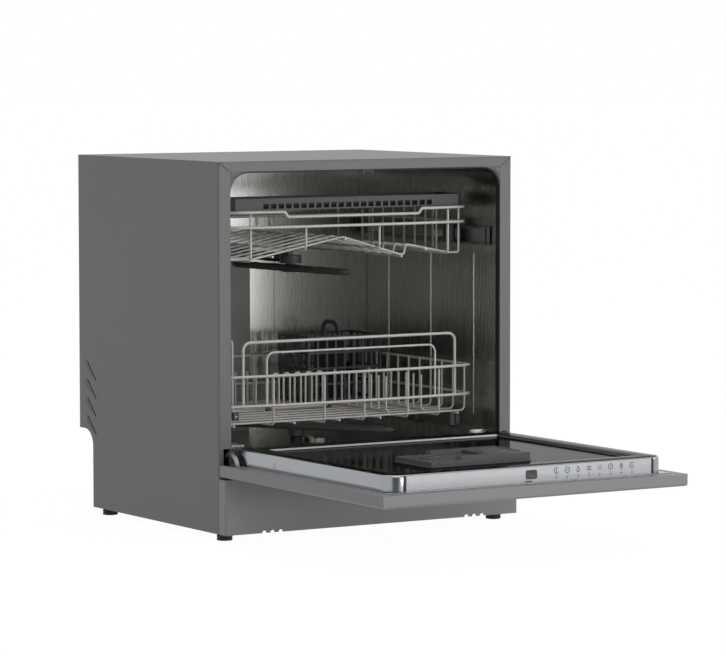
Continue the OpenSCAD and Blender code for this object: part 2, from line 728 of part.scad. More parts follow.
module dispenser_body() color([0.2, 0.2, 0.21]) at_front() {
    deck = field_z + disp_h - 6;
    low = panel_top + 3;
    difference() {
        union() {
            translate([disp_x0, disp_y - disp_l / 2, low]) cube([disp_w, disp_l, deck - low]);
            translate([-66, disp_y - disp_l / 2, deck - 1]) cube([disp_x0 + disp_w + 66, 16, 7]);
            translate([-66, disp_y + disp_l / 2 - 16, deck - 1]) cube([disp_x0 + disp_w + 66, 16, 7]);
            translate([cup_x + cup_w / 2 + 3, disp_y - disp_l / 2, deck - 1])
                cube([disp_x0 + disp_w - cup_x - cup_w / 2 - 3, disp_l, 7]);
        }
        translate([cup_x - cup_w / 2, disp_y - 30, deck - cup_depth + 2]) cube([cup_w, 60, cup_depth + 10]);
        translate([cap_x, disp_y, deck - 8]) cylinder(r = cap_r - 2, h = 12);
    }
}

module dispenser_lid() color([0.26, 0.26, 0.27]) at_front() {
    deck = field_z + disp_h - 6;
    l = disp_l - 32 - 2 * running;
    translate([cup_x - cup_w / 2 - 2, disp_y - l / 2, deck + running]) cube([cup_w + 4, l, 5 - running]);
    translate([cup_x - cup_w / 2 + 6, disp_y - 12, deck + 4]) cube([8, 24, 2]);
}

module rinse_aid_cap() color([0.35, 0.35, 0.36]) at_front() {
    deck = field_z + disp_h - 6;
    translate([cap_x, disp_y, deck + running]) {
        cylinder(r = cap_r, h = 3);
        translate([0, 0, -6]) cylinder(r = cap_r - 2 - running, h = 7);
        linear_extrude(5) round_rect(2 * cap_r - 8, 5, 2);
    }
}

module hinge_arms() color([0.72, 0.72, 0.72]) at_front() both_sides() {
    x = hw - 18;
    translate([x, -pivot_d, pivot_z]) upright_y() linear_extrude(3) difference() {
        union() {
            circle(4.4);
            translate([-84, -4.2]) square([84, 8.4]);
            intersection() {
                difference() { circle(27); circle(20); }
                polygon([[0, 0], 60 * [cos(50), sin(50)], 60 * [0, 1], 60 * [-1, 1], 60 * [-1, 0.1]]);
            }
        }
        circle(2.5 + 0.35);
    }
    translate([liner_hw + 0.5, -pivot_d - 84, pivot_z - 4.2]) cube([x - liner_hw - 0.5, 30, 8.4]);
    translate([liner_hw + 0.5, -pivot_d - 84, pivot_z]) cube([2.6, 30, panel_top - pivot_z]);
}

module door_seal() color([0.08, 0.08, 0.08]) at_front()
    translate([-liner_hw + 10, liner_y0, panel_top + 1]) cube([2 * (liner_hw - 10), 2.5, 8]);

// Distance of a rack's bowed front rail behind its foremost point.
function bow(x, half) = lookup(abs(x), [[0, 0], [110, 0], [half - 16, 9], [half, 14]]);

// Outline of a rack's front rail from one side rail to the other.
function front_path(half) = [[-half, corner_d], [-half, 20], [-half + 14, 9], [-110, 0],
    [110, 0], [half - 14, 9], [half, 20], [half, corner_d]];
function back_path(half, y) = [[-half, y - corner_d], [-half, y], [half, y], [half, y - corner_d]];

// A floor wire's turn into an upright at a rack's front, then the upright itself up to z1.
module front_upright(x, y, z0, z1, r)
    translate([x, 0, 0]) upright_y() wire([[y + bend_r, z0], [y, z0], [y, z1]], r, bend_r - 1);

// The cross wires' turned up ends at a rack's sides.
module side_uprights(half, n, pitch, z0, z1) both_sides() for (i = [0 : n - 1])
    translate([0, cross_y0 + i * pitch, 0]) upright_x()
        wire([[half - bend_r, z0], [half, z0], [half, z1]], wire_r, bend_r - 1);

function lower_front_y(x) = rack_y + bow(x, lower_hw) + rf + wf - weld;
lower_back_y = lower_y1 - rf - wf + weld;

module lower_rack_floor() color([0.75, 0.74, 0.71]) at_front() {
    for (i = [0 : cross_n - 1]) {
        y = cross_y0 + i * cross_pitch;
        rod([-lower_in + bend_r, y, lower_z], [lower_in - bend_r, y, lower_z], wire_r);
    }
    for (x = front_x)
        rod([x, lower_front_y(x) + bend_r, lower_yz], [x, lower_back_y - bend_r, lower_yz], wire_r);
    for (x = short_x)
        rod([x, cross_y0 - 9, lower_yz], [x, cross_y0 + 9 + (cross_n - 1) * cross_pitch, lower_yz], wire_r);
}
tine_axis_y = cross_y0 + 4.5 * cross_pitch;
fold_axis_z = lower_z + wf + wire_r + 1;
stem_x = 49 - lower_hw;
stem_z = lower_z + 8;

// Plastic clips that hold the folding tines and the stemware rest on the floor wires.
module rack_clips() color([0.2, 0.2, 0.21]) at_front() {
    for (x = [front_x[1], short_x[3]]) difference() {
        translate([x - 3, tine_axis_y - 5, lower_yz + wf]) cube([6, 10, 12 - wf]);
        translate([x - 4, tine_axis_y, fold_axis_z]) rotate([0, 90, 0]) cylinder(r = wire_r + running, h = 8);
    }
    for (i = [1, 5]) difference() {
        translate([stem_x - 5, cross_y0 + i * cross_pitch - 3, lower_z + wf]) cube([10, 6, 15 - wf]);
        translate([stem_x, cross_y0 + i * cross_pitch - 4, stem_z]) rotate([-90, 0, 0])
            cylinder(r = wire_r + running, h = 8);
    }
}

module lower_rack_front() color([0.75, 0.74, 0.71]) at_front() {
    for (z = [rail_low_z, rail_high_z]) translate([0, rack_y, z]) wire(front_path(lower_hw), rail_r, 7);
    for (x = front_x) front_upright(x, lower_front_y(x), lower_yz, rail_high_z + rf, wire_r);
    for (h = [[200 * wide, hoop_z, rail_r], [159 * wide, hoop_z - 17, wire_r]])
        translate([0, rack_y + bow(h[0], lower_hw) + rf + h[2] * cos(22.5) - weld, 0]) upright_x()
            wire([[-h[0], rail_low_z - rf], [-h[0], h[1]], [h[0], h[1]], [h[0], rail_low_z - rf]], h[2], 12);
}

module lower_rack_back() color([0.75, 0.74, 0.71]) at_front() {
    for (z = [rail_low_z, rail_high_z]) translate([0, 0, z]) wire(back_path(lower_hw, lower_y1), rail_r, 14);
    for (x = front_x) translate([0, lower_back_y, 0]) mirror([0, 1, 0])
        front_upright(x, 0, lower_yz, rail_high_z + rf, wire_r);
}

module lower_rack_sides() color([0.75, 0.74, 0.71]) at_front() {
    both_sides() for (z = [rail_low_z, rail_high_z])
        rod([lower_hw, rack_y + corner_d, z], [lower_hw, lower_y1 - corner_d, z], rail_r);
    side_uprights(lower_in, cross_n, cross_pitch, lower_z, rail_high_z + rf);
}

// Row of n straight tines along x from x0, a pitch apart, on a base wire.
module tine_row(x0, n, pitch) {
    rod([x0 - 6, 0, 0], [x0 + (n - 1) * pitch + 6, 0, 0], wire_r);
    for (i = [0 : n - 1]) rod([x0 + i * pitch, 0, 0], [x0 + i * pitch, 0, tine_h], wire_r - 0.15);
}

module plate_tines() color([0.75, 0.74, 0.71]) at_front() {
    for (i = [5.5, 7.5]) translate([0, cross_y0 + i * cross_pitch, lower_yz + 2 * wf])
        tine_row(38 - lower_hw, 8, wide * tine_pitch);
    row_l = basket_y - basket_d / 2 - cross_y0 - 54;
    for (x = wide * [92, 160]) translate([x, cross_y0 + 22, lower_z + 2 * wf]) rotate(90) tine_row(0, 8, row_l / 7);
}

module wheel_brackets() color([0.17, 0.17, 0.18]) at_front() both_sides() for (y = wheel_y) {
    x = wheel_x - wheel_w / 2;
    translate([-short_x[0] - 4, y - 9, track_z + 4])
        cube([x - 0.8 + short_x[0] + 4, y == wheel_y[2] ? 12 : 18, lower_yz - wf - track_z - 4]);
    translate([x - 2, y, wheel_z]) rotate([0, 90, 0]) cylinder(r = 3, h = wheel_w);
}

// Rack wheel with a raised hub outside and a blind bore for its axle.
module rack_wheel(x, y) color([0.3, 0.3, 0.31]) at_front() translate([x, y, wheel_z])
    rotate([0, x > 0 ? 90 : -90, 0]) difference() {
        union() {
            translate([0, 0, -wheel_w / 2]) cylinder(r = wheel_r, h = wheel_w - 4);
            translate([0, 0, -wheel_w / 2]) cylinder(r = wheel_r - 3, h = wheel_w);
        }
        translate([0, 0, -wheel_w / 2 - 1]) cylinder(r = 3 + running, h = wheel_w - 1);
    }

module wheel_left_front() rack_wheel(-wheel_x, wheel_y[0]);
module wheel_left_middle() rack_wheel(-wheel_x, wheel_y[1]);
module wheel_left_rear() rack_wheel(-wheel_x, wheel_y[2]);
module wheel_right_front() rack_wheel(wheel_x, wheel_y[0]);
module wheel_right_middle() rack_wheel(wheel_x, wheel_y[1]);
module wheel_right_rear() rack_wheel(wheel_x, wheel_y[2]);

module fold_tines() color([0.78, 0.77, 0.74]) at_front() translate([0, tine_axis_y, fold_axis_z]) {
    x0 = front_x[1] - 3;
    x1 = short_x[3] + 3;
    translate([x0, 0, 0]) rotate([0, 90, 0]) cylinder(r = wire_r, h = x1 - x0);
    for (i = [0 : 4]) translate([x0 + 11 + (x1 - x0 - 38) / 4 * i, 0, 0]) {
        upright_x() wire([[0, 0], [0, tine_h], [12, tine_h], [12, 0]], wire_r, 5.5);
    }
}

module stemware_rest() color([0.78, 0.77, 0.74]) at_front() {
    y0 = cross_y0 + cross_pitch;
    y1 = cross_y0 + 5 * cross_pitch;
    a = y0 + 9;
    b = y1 - 9;
    n = 12;
    step = (b - a - 14) / n;
    wave = [for (i = [0 : n]) [a + 7 + i * step, stem_h - (i % 2) * 3]];
    translate([stem_x, 0, stem_z]) {
        translate([0, y0 - 3, 0]) rotate([-90, 0, 0]) cylinder(r = wire_r, h = y1 - y0 + 6);
        upright_y() chain(concat([[a, 0], [a, stem_h - 6], [a + 2.4, stem_h - 1.4]], wave,
            [[b - 2.4, stem_h - 1.4], [b, stem_h - 6], [b, 0]]), wire_r);
    }
}

// Rectangular lattice: a plate with n by m openings.
module lattice(w, h, n, m, bar) difference() {
    square([w, h]);
    for (i = [0 : n - 1], j = [0 : m - 1])
        translate([bar + i * (w - bar) / n, bar + j * (h - bar) / m]) square([(w - bar) / n - bar, (h - bar) / m - bar]);
}

// The basket's floor, its four walls and its middle wall are flat panels that snap together.
snap = 0.1;
module cutlery_basket() color([0.17, 0.17, 0.18]) at_front()
    translate([basket_x - basket_w / 2, basket_y - basket_d / 2, lower_z + wf]) {
        t = 2.5;
        z = t + snap;
        inner_d = basket_d - 2 * z;
        linear_extrude(t) lattice(basket_w, basket_d, 9, 6, 3);
        for (y = [t, basket_d]) translate([0, y, z]) upright_x() linear_extrude(t)
            lattice(basket_w, basket_h - z, 8, 4, 4);
        for (x = [0, basket_w - t]) translate([x, z, z]) upright_y() linear_extrude(t)
            lattice(inner_d, basket_h - z, 5, 4, 4);
        translate([basket_w / 2 - t / 2, z, z]) upright_y() linear_extrude(t) {
            square([inner_d, basket_h - 10 - z]);
            translate([inner_d / 2, basket_h - 12 - z]) difference() {
                round_rect(56, 70, 20);
                translate([0, 4]) round_rect(42, 48, 16);
            }
        }
    }

// Height of the upper rack's tent floor at x.
ridge_x = -4;
valley_x = 103 * wide;
tent = [[-upper_in + bend_r, 0], [50 - upper_hw, 0], [ridge_x, tent_rise], [valley_x, 0], [valley_x + 9, 0],
    [valley_x + 13, 16], [upper_hw - 23, 0], [upper_in - bend_r, 0]];
function tent_z(x) = upper_z + lookup(x, tent);
post_x = upper_hw - 36;
upper_long = [-post_x, -140 * wide, -88 * wide, ridge_x, 50 * wide, valley_x, 150 * wide, post_x];
upper_posts = [[-post_x, top_rail_z], [-88 * wide, mid_rail_z], [50 * wide, mid_rail_z], [post_x, top_rail_z]];
long_drop = 2 * wf - weld - 0.1;

module upper_rack_floor() color([0.75, 0.74, 0.71]) at_front() {
    for (i = [0 : cross_n - 1]) translate([0, cross_y0 + i * upper_pitch, upper_z]) upright_x() wire(tent, wire_r, 3);
    for (x = upper_long) {
        post = len([for (p = upper_posts) if (p[0] == x) x]) > 0;
        y0 = post ? upper_front_y(x) + bend_r : cross_y0 - 3;
        y1 = post ? upper_back_y - bend_r : cross_y0 + 9 + (cross_n - 1) * upper_pitch;
        rod([x, y0, tent_z(x) - long_drop], [x, y1, tent_z(x) - long_drop], wire_r);
    }
}
function upper_front_y(x) = rack_y + bow(x, upper_hw) + rf + wf - weld;
upper_back_y = upper_y1 - rf - wf + weld;

module upper_rack_front() color([0.75, 0.74, 0.71]) at_front() {
    dip_x = 131 * wide;
    dip = 8;
    translate([0, rack_y, mid_rail_z]) wire(front_path(upper_hw), rail_r, 7);
    both_sides() translate([0, rack_y, top_rail_z])
        wire([[dip_x, 2], [upper_hw - 14, 9], [upper_hw, 20], [upper_hw, corner_d]], rail_r, 7);
    translate([0, rack_y + 1, 0]) upright_x() wire([[-dip_x - 2, top_rail_z], [-dip_x + 2, top_rail_z],
        [-dip_x + 8, top_rail_z - dip], [dip_x - 8, top_rail_z - dip], [dip_x - 2, top_rail_z],
        [dip_x + 2, top_rail_z]], rail_r, 3.2);
    for (p = upper_posts)
        front_upright(p[0], upper_front_y(p[0]), tent_z(p[0]) - long_drop, p[1] + rf, wire_r);
}

module upper_rack_back() color([0.75, 0.74, 0.71]) at_front() {
    for (z = [mid_rail_z, top_rail_z]) translate([0, 0, z]) wire(back_path(upper_hw, upper_y1), rail_r, 14);
    for (p = upper_posts) translate([0, upper_back_y, 0]) mirror([0, 1, 0])
        front_upright(p[0], 0, tent_z(p[0]) - long_drop, p[1] + rf, wire_r);
}

module upper_rack_sides() color([0.75, 0.74, 0.71]) at_front() {
    both_sides() for (z = [mid_rail_z, top_rail_z])
        rod([upper_hw, rack_y + corner_d, z], [upper_hw, upper_y1 - corner_d, z], rail_r);
    side_uprights(upper_in, cross_n, upper_pitch, upper_z, top_rail_z + rf - 0.2);
}

// Outline of the cutlery shelf, d smaller on every side.
shelf_w = 2 * upper_hw + 4;
module shelf_outline(d) {
    w = shelf_w / 2;
    cut = 14 + d / 2;
    polygon([[-w + d, shelf_d - d], [-w + d, cut], [-w + cut, d], [w - cut, d], [w - d, cut], [w - d, shelf_d - d]]);
}

module cutlery_shelf() color([0.17, 0.17, 0.18]) at_front()
    translate([0, rack_y + 17, top_rail_z + rf]) difference() {
        t = 2.5;
        linear_extrude(shelf_h) shelf_outline(0);
        translate([0, 0, t]) linear_extrude(shelf_h) shelf_outline(t);
        for (i = [-14 : 14]) translate([i * 14 - 4, 10, -1]) cube([8, shelf_d - 20, t + 2]);
        for (i = [-11 : 11]) translate([i * 14 - 5, -1, t]) cube([10, t + 2, 8]);
    }

// Blades of a spray arm about its hub, with slotted jets.
module blades(reach, h) difference() {
    linear_extrude(h) {
        circle(arm_w / 2);
        for (a = [0, 180]) rotate(a) polygon([[-arm_w / 2, 0], [-arm_w / 3, reach - 8], [-arm_w / 3 + 6, reach],
            [arm_w / 3 - 6, reach], [arm_w / 3, reach - 8], [arm_w / 2, 0]]);
    }
    for (a = [0, 180], i = [0 : 3]) rotate(a)
        translate([i % 2 == 0 ? -6 : 3, reach * (0.3 + 0.17 * i), h - 2]) cube([2.5, 9, 4]);
}

module spray_feed() color([0.22, 0.22, 0.23]) at_front() {
    translate([0, arm_y, feed_z]) rotate([-90, 0, 0]) cylinder(r = feed_r, h = tub_back - riser_d - 2 - arm_y);
    translate([0, arm_y, feed_z - feed_r]) cylinder(r = 18, h = feed_r + 5);
    translate([0, arm_y, arm_z - 4]) cylinder(r = 7, h = feed_z - arm_z);
    translate([ridge_x - 4, arm_y - 8, feed_z]) cube([8, 16, tent_z(ridge_x) - long_drop - wf - feed_z]);
}

module upper_spray_arm() color([0.2, 0.2, 0.21]) at_front() translate([0, arm_y, arm_z - arm_t / 2]) difference() {
    union() {
        rotate(7) blades(upper_arm_r, arm_t);
        rotate(7) for (s = [-1, 1]) translate([0, s * (upper_arm_r - 14), -5]) cylinder(r = 5, h = 6);
    }
    translate([0, 0, 1]) cylinder(r = 7 + running, h = arm_t);
}

module lower_spray_arm() color([0.2, 0.2, 0.21]) at_front() translate([0, bowl_y, track_z - 4]) difference() {
    union() {
        rotate(35) blades(lower_arm_r, arm_t);
        translate([0, 0, -10]) cylinder(r = 13, h = 12);
    }
    translate([0, 0, -11]) cylinder(r = 7 + running, h = arm_t + 9);
}

side_panel_left();
side_panel_right();
top_panel();
back_panel();
base_tray();
plinth();
levelling_feet();
tub_wrapper();
tub_rear_wall();
tub_floor();
door_gasket();
latch_striker();
hinge_brackets();
door_springs();
sump();
filter_cup();
circulation_pump();
drain_pump();
water_inlet_valve();
drain_spigot();
cord_gland();
water_softener();
salt_cap();
riser_pipe();
rail_channels();
rail_middles();
rail_inners();
door_outer_panel();
door_liner();
control_strip();
latch_mouth();
dispenser_body();
dispenser_lid();
rinse_aid_cap();
hinge_arms();
door_seal();
lower_rack_floor();
lower_rack_front();
lower_rack_back();
lower_rack_sides();
plate_tines();
rack_clips();
wheel_brackets();
wheel_left_front();
wheel_left_middle();
wheel_left_rear();
wheel_right_front();
wheel_right_middle();
wheel_right_rear();
fold_tines();
stemware_rest();
cutlery_basket();
upper_rack_floor();
upper_rack_front();
upper_rack_back();
upper_rack_sides();
cutlery_shelf();
spray_feed();
upper_spray_arm();
lower_spray_arm();
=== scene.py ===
# %% [markdown]
# # A compact dishwasher with its door open
# A compact dishwasher is a painted steel box around a stainless steel tub. Its door folds down on two
# hinge arms, and a pressed steel liner on the door closes the tub. Two racks of coated wire slide out
# over the door. The CAD frame already holds every part at its true place, so this scene keeps those
# places, gives each part the surface of the real one, and redraws the parts whose charm is in curves:
# the wires, the pressed liner, the plastic mouldings and the seals.

# %% Load the frame
from math import cos, pi, radians, sin, tan
import bmesh
import bpy
import numpy as np
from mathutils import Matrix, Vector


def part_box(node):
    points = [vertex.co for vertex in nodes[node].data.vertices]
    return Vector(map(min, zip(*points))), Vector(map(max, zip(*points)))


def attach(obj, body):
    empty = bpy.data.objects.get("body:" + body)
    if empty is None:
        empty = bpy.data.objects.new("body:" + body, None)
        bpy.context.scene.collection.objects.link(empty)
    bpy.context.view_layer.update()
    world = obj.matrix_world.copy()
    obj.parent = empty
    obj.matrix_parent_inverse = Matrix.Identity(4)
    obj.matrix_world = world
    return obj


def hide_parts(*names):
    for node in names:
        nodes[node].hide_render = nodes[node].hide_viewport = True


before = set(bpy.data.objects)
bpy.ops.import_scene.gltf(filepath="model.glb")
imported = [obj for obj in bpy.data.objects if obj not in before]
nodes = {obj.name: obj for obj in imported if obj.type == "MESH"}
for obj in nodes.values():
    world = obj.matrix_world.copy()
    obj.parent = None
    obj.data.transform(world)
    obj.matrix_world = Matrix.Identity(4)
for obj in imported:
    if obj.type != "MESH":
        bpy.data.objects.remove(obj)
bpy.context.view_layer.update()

# %% [markdown]
# ## Where the camera stands
# The view is a long lens from the front left, a little above the worktop, so upright edges stay almost
# parallel. The lens and place were worked out from the edges of the casing, and they come first.

# %% Camera
camera = bpy.data.objects.new("camera", bpy.data.cameras.new("camera"))
bpy.context.scene.collection.objects.link(camera)
camera.data.sensor_width = 36.0
camera.data.lens = 185.41
camera.data.clip_end = 50.0
camera.location = (-3.15226, -5.0425, 0.77471)
camera.rotation_euler = (radians(90 - 4.3262), radians(0.045), radians(-31.8969))
bpy.context.scene.camera = camera
print("camera lens", round(camera.data.lens, 1), "mm")

# %% [markdown]
# ## Light and floor
# Painted sheet and brushed steel both need large soft lights: a small lamp would leave hard spots on
# them. One broad light hangs over the front left, a second stands at the right and lights the tub's left
# wall, and a low wide one lights the fronts of the door and the plinth. An even world does the rest. The
# world and the floor look white in the picture and in mirrors, but give the object a weaker light. Only
# the side where the camera stands is dark: round steel edges mirror it as a dark band beside a bright one.

# %% Colours written as on a paint card
def linear(code):
    """sRGB hex to linear light: c / 12.92 for dark values, ((c + 0.055) / 1.055) ** 2.4 for others."""
    c = np.array([int(code[i:i + 2], 16) for i in (1, 3, 5)]) / 255
    return tuple(np.where(c <= 0.04045, c / 12.92, ((c + 0.055) / 1.055) ** 2.4)) + (1.0,)

# %% One function adds a node
def add(owner, kind, inputs=None, **settings):
    """Adds a node; settings are its own properties, inputs its sockets: a value, or another node's output."""
    node = owner.node_tree.nodes.new(kind)
    for key, value in settings.items():
        setattr(node, key, value)
    for key, value in (inputs or {}).items():
        if isinstance(value, bpy.types.NodeSocket):
            owner.node_tree.links.new(value, node.inputs[key])
        else:
            node.inputs[key].default_value = value
    return node

# %% World that is brighter to the camera than to the object
world = bpy.data.worlds.new("studio")
bpy.context.scene.world = world
world.use_nodes = True
world.node_tree.nodes.clear()

def straight_look(owner):
    """1 where the camera looks, straight, in a mirror or through glass; 0 for light that falls on things."""
    kind = add(owner, "ShaderNodeLightPath")
    clear = add(owner, "ShaderNodeMath", {0: kind.outputs["Is Camera Ray"], 1: kind.outputs["Is Transmission Ray"]},
                operation="MAXIMUM")
    look = add(owner, "ShaderNodeMath", {0: clear.outputs[0], 1: kind.outputs["Is Glossy Ray"]}, operation="MAXIMUM")
    return look.outputs[0]

def dark_side(owner, direction, sign):
    """Tone of what lies in a direction: white, but dark grey around the camera, where no light stands.
    With c the cosine between the two, it falls from 1 at c = 0.88 to 0.2 at c = 0.98."""
    to_camera = (-0.5284 * sign, -0.849 * sign, 0)
    dot = add(owner, "ShaderNodeVectorMath", {0: direction, 1: to_camera}, operation="DOT_PRODUCT")
    fall = add(owner, "ShaderNodeMapRange", {0: dot.outputs["Value"], 1: 0.88, 2: 0.98, 3: 1.0, 4: 0.2},
               interpolation_type="SMOOTHSTEP")
    tone = add(owner, "ShaderNodeCombineColor", {i: fall.outputs[0] for i in range(3)})
    return tone.outputs[0]

room_light = add(world, "ShaderNodeBackground", {"Color": linear("#e8ebef"), "Strength": 0.49})
looks_at = add(world, "ShaderNodeTexCoord").outputs["Generated"]
pale = add(world, "ShaderNodeBackground", {"Color": dark_side(world, looks_at, 1), "Strength": 1.0})
either = add(world, "ShaderNodeMixShader", {0: straight_look(world), 1: room_light.outputs[0], 2: pale.outputs[0]})
add(world, "ShaderNodeOutputWorld", {"Surface": either.outputs[0]})
print("world is ready")

# %% Soft lights
def softbox(name, place, aim, wide, tall, watts):
    """A rectangular area lamp at place, turned so that it shines at aim."""
    lamp = bpy.data.lights.new(name, "AREA")
    lamp.shape, lamp.size, lamp.size_y, lamp.energy = "RECTANGLE", wide, tall, watts
    holder = bpy.data.objects.new(name, lamp)
    bpy.context.scene.collection.objects.link(holder)
    holder.location = place
    towards = np.subtract(aim, place)
    flat = np.hypot(towards[0], towards[1])
    holder.rotation_euler = (np.arctan2(flat, -towards[2]), 0, np.arctan2(-towards[0], towards[1]))
    return holder

softbox("light_over_front", (-0.7, -1.7, 2.5), (0.0, 0.0, 0.3), 1.8, 1.8, 11)
softbox("light_right", (2.6, -1.6, 1.5), (0.0, 0.0, 0.3), 1.6, 1.6, 17)
softbox("light_low_front", (1.0, -3.0, 0.26), (0.0, 0.0, 0.05), 2.6, 0.4, 20)
print("three soft lights")

# %% Floor
floor_mesh = bpy.data.meshes.new("floor")
floor_mesh.from_pydata([(-40, -40, 0), (40, -40, 0), (40, 40, 0), (-40, 40, 0)], [], [(0, 1, 2, 3)])
floor = bpy.data.objects.new("floor", floor_mesh)
bpy.context.scene.collection.objects.link(floor)
floor_paint = bpy.data.materials.new("pale matt floor")
floor_paint.use_nodes = True
floor_paint.node_tree.nodes.clear()
matt = add(floor_paint, "ShaderNodeBsdfDiffuse", {"Color": linear("#e9e9e9")})
comes_from = add(floor_paint, "ShaderNodeNewGeometry").outputs["Incoming"]
glow = add(floor_paint, "ShaderNodeEmission", {"Color": dark_side(floor_paint, comes_from, -1), "Strength": 1.06})
share = add(floor_paint, "ShaderNodeMath", {0: straight_look(floor_paint), 1: 0.92}, operation="MULTIPLY")
both = add(floor_paint, "ShaderNodeMixShader", {0: share.outputs[0], 1: matt.outputs[0], 2: glow.outputs[0]})
add(floor_paint, "ShaderNodeOutputMaterial", {"Surface": both.outputs[0]})
floor.data.materials.append(floor_paint)

# %% [markdown]
# ## Surfaces from numbers
# Every new piece here is a grid of points worked out at once with numpy: a row is a cross-section, and
# the rows follow one another along the piece. Lengths are in millimetres from the casing's front plane,
# as on a drawing, and one function turns them into the frame's metres.

# %% Grids become meshes
front_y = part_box("top_panel")[0][1] * 1000
print("casing front lies at y =", round(front_y, 2), "mm")

def grid(points, wrap=False, caps=False):
    """Faces between neighbours of points[row, column]; wrap joins the last column to the first, and caps
    closes the first and last row with one face each."""
    rows, columns = points.shape[:2]
    index = np.arange(rows * columns).reshape(rows, columns)
    here, after = (index, np.roll(index, -1, axis=1)) if wrap else (index[:, :-1], index[:, 1:])
    faces = np.stack([here[:-1], after[:-1], after[1:], here[1:]], axis=-1).reshape(-1, 4).tolist()
    if caps:
        faces += [index[0, ::-1].tolist(), index[-1].tolist()]
    return points.reshape(-1, 3), faces

def piece(name, parts, body, material, replaces=(), closed=True, angle=40, bevel=0.0, wall=0.0):
    """One object from (points, faces) parts in drawing millimetres, riding on a body."""
    counts = np.cumsum([0] + [len(p) for p, _ in parts])
    points = (np.concatenate([p for p, _ in parts]) + [0, front_y, 0]) / 1000
    faces = [[v + int(start) for v in face] for (_, fs), start in zip(parts, counts) for face in fs]
    mesh = bpy.data.meshes.new(name)
    mesh.from_pydata(points.tolist(), [], faces)
    if closed:
        work = bmesh.new()
        work.from_mesh(mesh)
        bmesh.ops.remove_doubles(work, verts=work.verts, dist=1e-6)
        bmesh.ops.recalc_face_normals(work, faces=work.faces)
        work.to_mesh(mesh)
        work.free()
    mesh.polygons.foreach_set("use_smooth", np.ones(len(mesh.polygons), dtype=bool))
    mesh.set_sharp_from_angle(angle=radians(angle))
    mesh.materials.append(material)
    thing = bpy.data.objects.new(name, mesh)
    bpy.context.scene.collection.objects.link(thing)
    if wall:
        skin = thing.modifiers.new("wall", "SOLIDIFY")
        skin.thickness, skin.offset = wall / 1000, -1
    if bevel:
        soft = thing.modifiers.new("edges", "BEVEL")
        soft.width, soft.segments, soft.limit_method, soft.angle_limit = bevel / 1000, 2, "ANGLE", radians(35)
    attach(thing, body)
    if replaces:
        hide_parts(*replaces)
    print(f"{name}: {len(mesh.polygons)} faces on {body}")
    return thing

# %% A soft edge on a part of the frame
def softened(node, body, material, bevel, angle=40):
    """A merged copy of a CAD node with its edges rounded by bevel millimetres; it stands for the node."""
    mesh = nodes[node].data.copy()
    work = bmesh.new()
    work.from_mesh(mesh)
    bmesh.ops.remove_doubles(work, verts=work.verts, dist=1e-5)
    bmesh.ops.dissolve_limit(work, angle_limit=radians(0.5), verts=work.verts, edges=work.edges)
    work.to_mesh(mesh)
    work.free()
    mesh.polygons.foreach_set("use_smooth", np.ones(len(mesh.polygons), dtype=bool))
    mesh.set_sharp_from_angle(angle=radians(angle))
    mesh.materials.clear()
    mesh.materials.append(material)
    thing = bpy.data.objects.new(node + "_soft", mesh)
    bpy.context.scene.collection.objects.link(thing)
    soft = thing.modifiers.new("edges", "BEVEL")
    soft.width, soft.segments, soft.limit_method, soft.angle_limit = bevel / 1000, 2, "ANGLE", radians(35)
    soft.use_clamp_overlap = True
    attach(thing, body)
    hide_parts(node)
    print(f"{node}: edges softened by {bevel} mm")
    return thing

# %% [markdown]
# ## Painted sheet steel
# The casing is galvanised sheet, sprayed and baked with a grey paint. Close up such paint has a fine
# orange peel, with waves about 1.5 mm apart, which blurs reflections without hiding them. The metal
# under it doesn't show, so the surface is a plain dielectric of middling roughness.

# %% Painted sheet steel
def painted_sheet(name, code, light_code, roughness):
    """Baked paint: two close tones of one colour in broad clouds, and a fine peel as bump."""
    paint = bpy.data.materials.new(name)
    paint.use_nodes = True
    shader = paint.node_tree.nodes["Principled BSDF"]
    at = add(paint, "ShaderNodeTexCoord").outputs["Object"]
    clouds = add(paint, "ShaderNodeTexNoise", {"Vector": at, "Scale": 1000 / 180, "Detail": 2.0})
    tone = add(paint, "ShaderNodeMix", {0: clouds.outputs["Fac"], 6: linear(code), 7: linear(light_code)},
               data_type="RGBA")
    peel = add(paint, "ShaderNodeTexNoise", {"Vector": at, "Scale": 1000 / 1.5, "Detail": 1.0})
    bump = add(paint, "ShaderNodeBump", {"Height": peel.outputs["Fac"], "Strength": 0.12, "Distance": 0.0004})
    paint.node_tree.links.new(tone.outputs[2], shader.inputs["Base Color"])
    paint.node_tree.links.new(bump.outputs["Normal"], shader.inputs["Normal"])
    shader.inputs["Roughness"].default_value = roughness
    shader.inputs["IOR"].default_value = 1.5
    return paint

side_paint = painted_sheet("baked grey paint on sheet steel", "#6b6869", "#706d6e", 0.45)
# The plinth gets the casing's grey written lighter: painted light, for the low front and floor light on it.
plinth_paint_lightened = painted_sheet("baked grey paint on the plinth, lightened as painted light", "#8c898a", "#918e8f", 0.45)
# The door gets the casing's grey written lighter: painted light on its front face.
door_paint_lightened = painted_sheet("baked grey paint on the door, lightened as painted light", "#868283", "#8b8788", 0.42)
print("painted sheet ready")

# %% [markdown]
# ## Stainless steel
# The tub and the liner are pressed from stainless sheet whose rolling left a fine grain in one
# direction. The grain is far finer than a pixel here, so it is drawn 0.6 mm wide and very long, which
# keeps the streaked look. A metal keeps the default IOR, and its colour is its reflectivity.

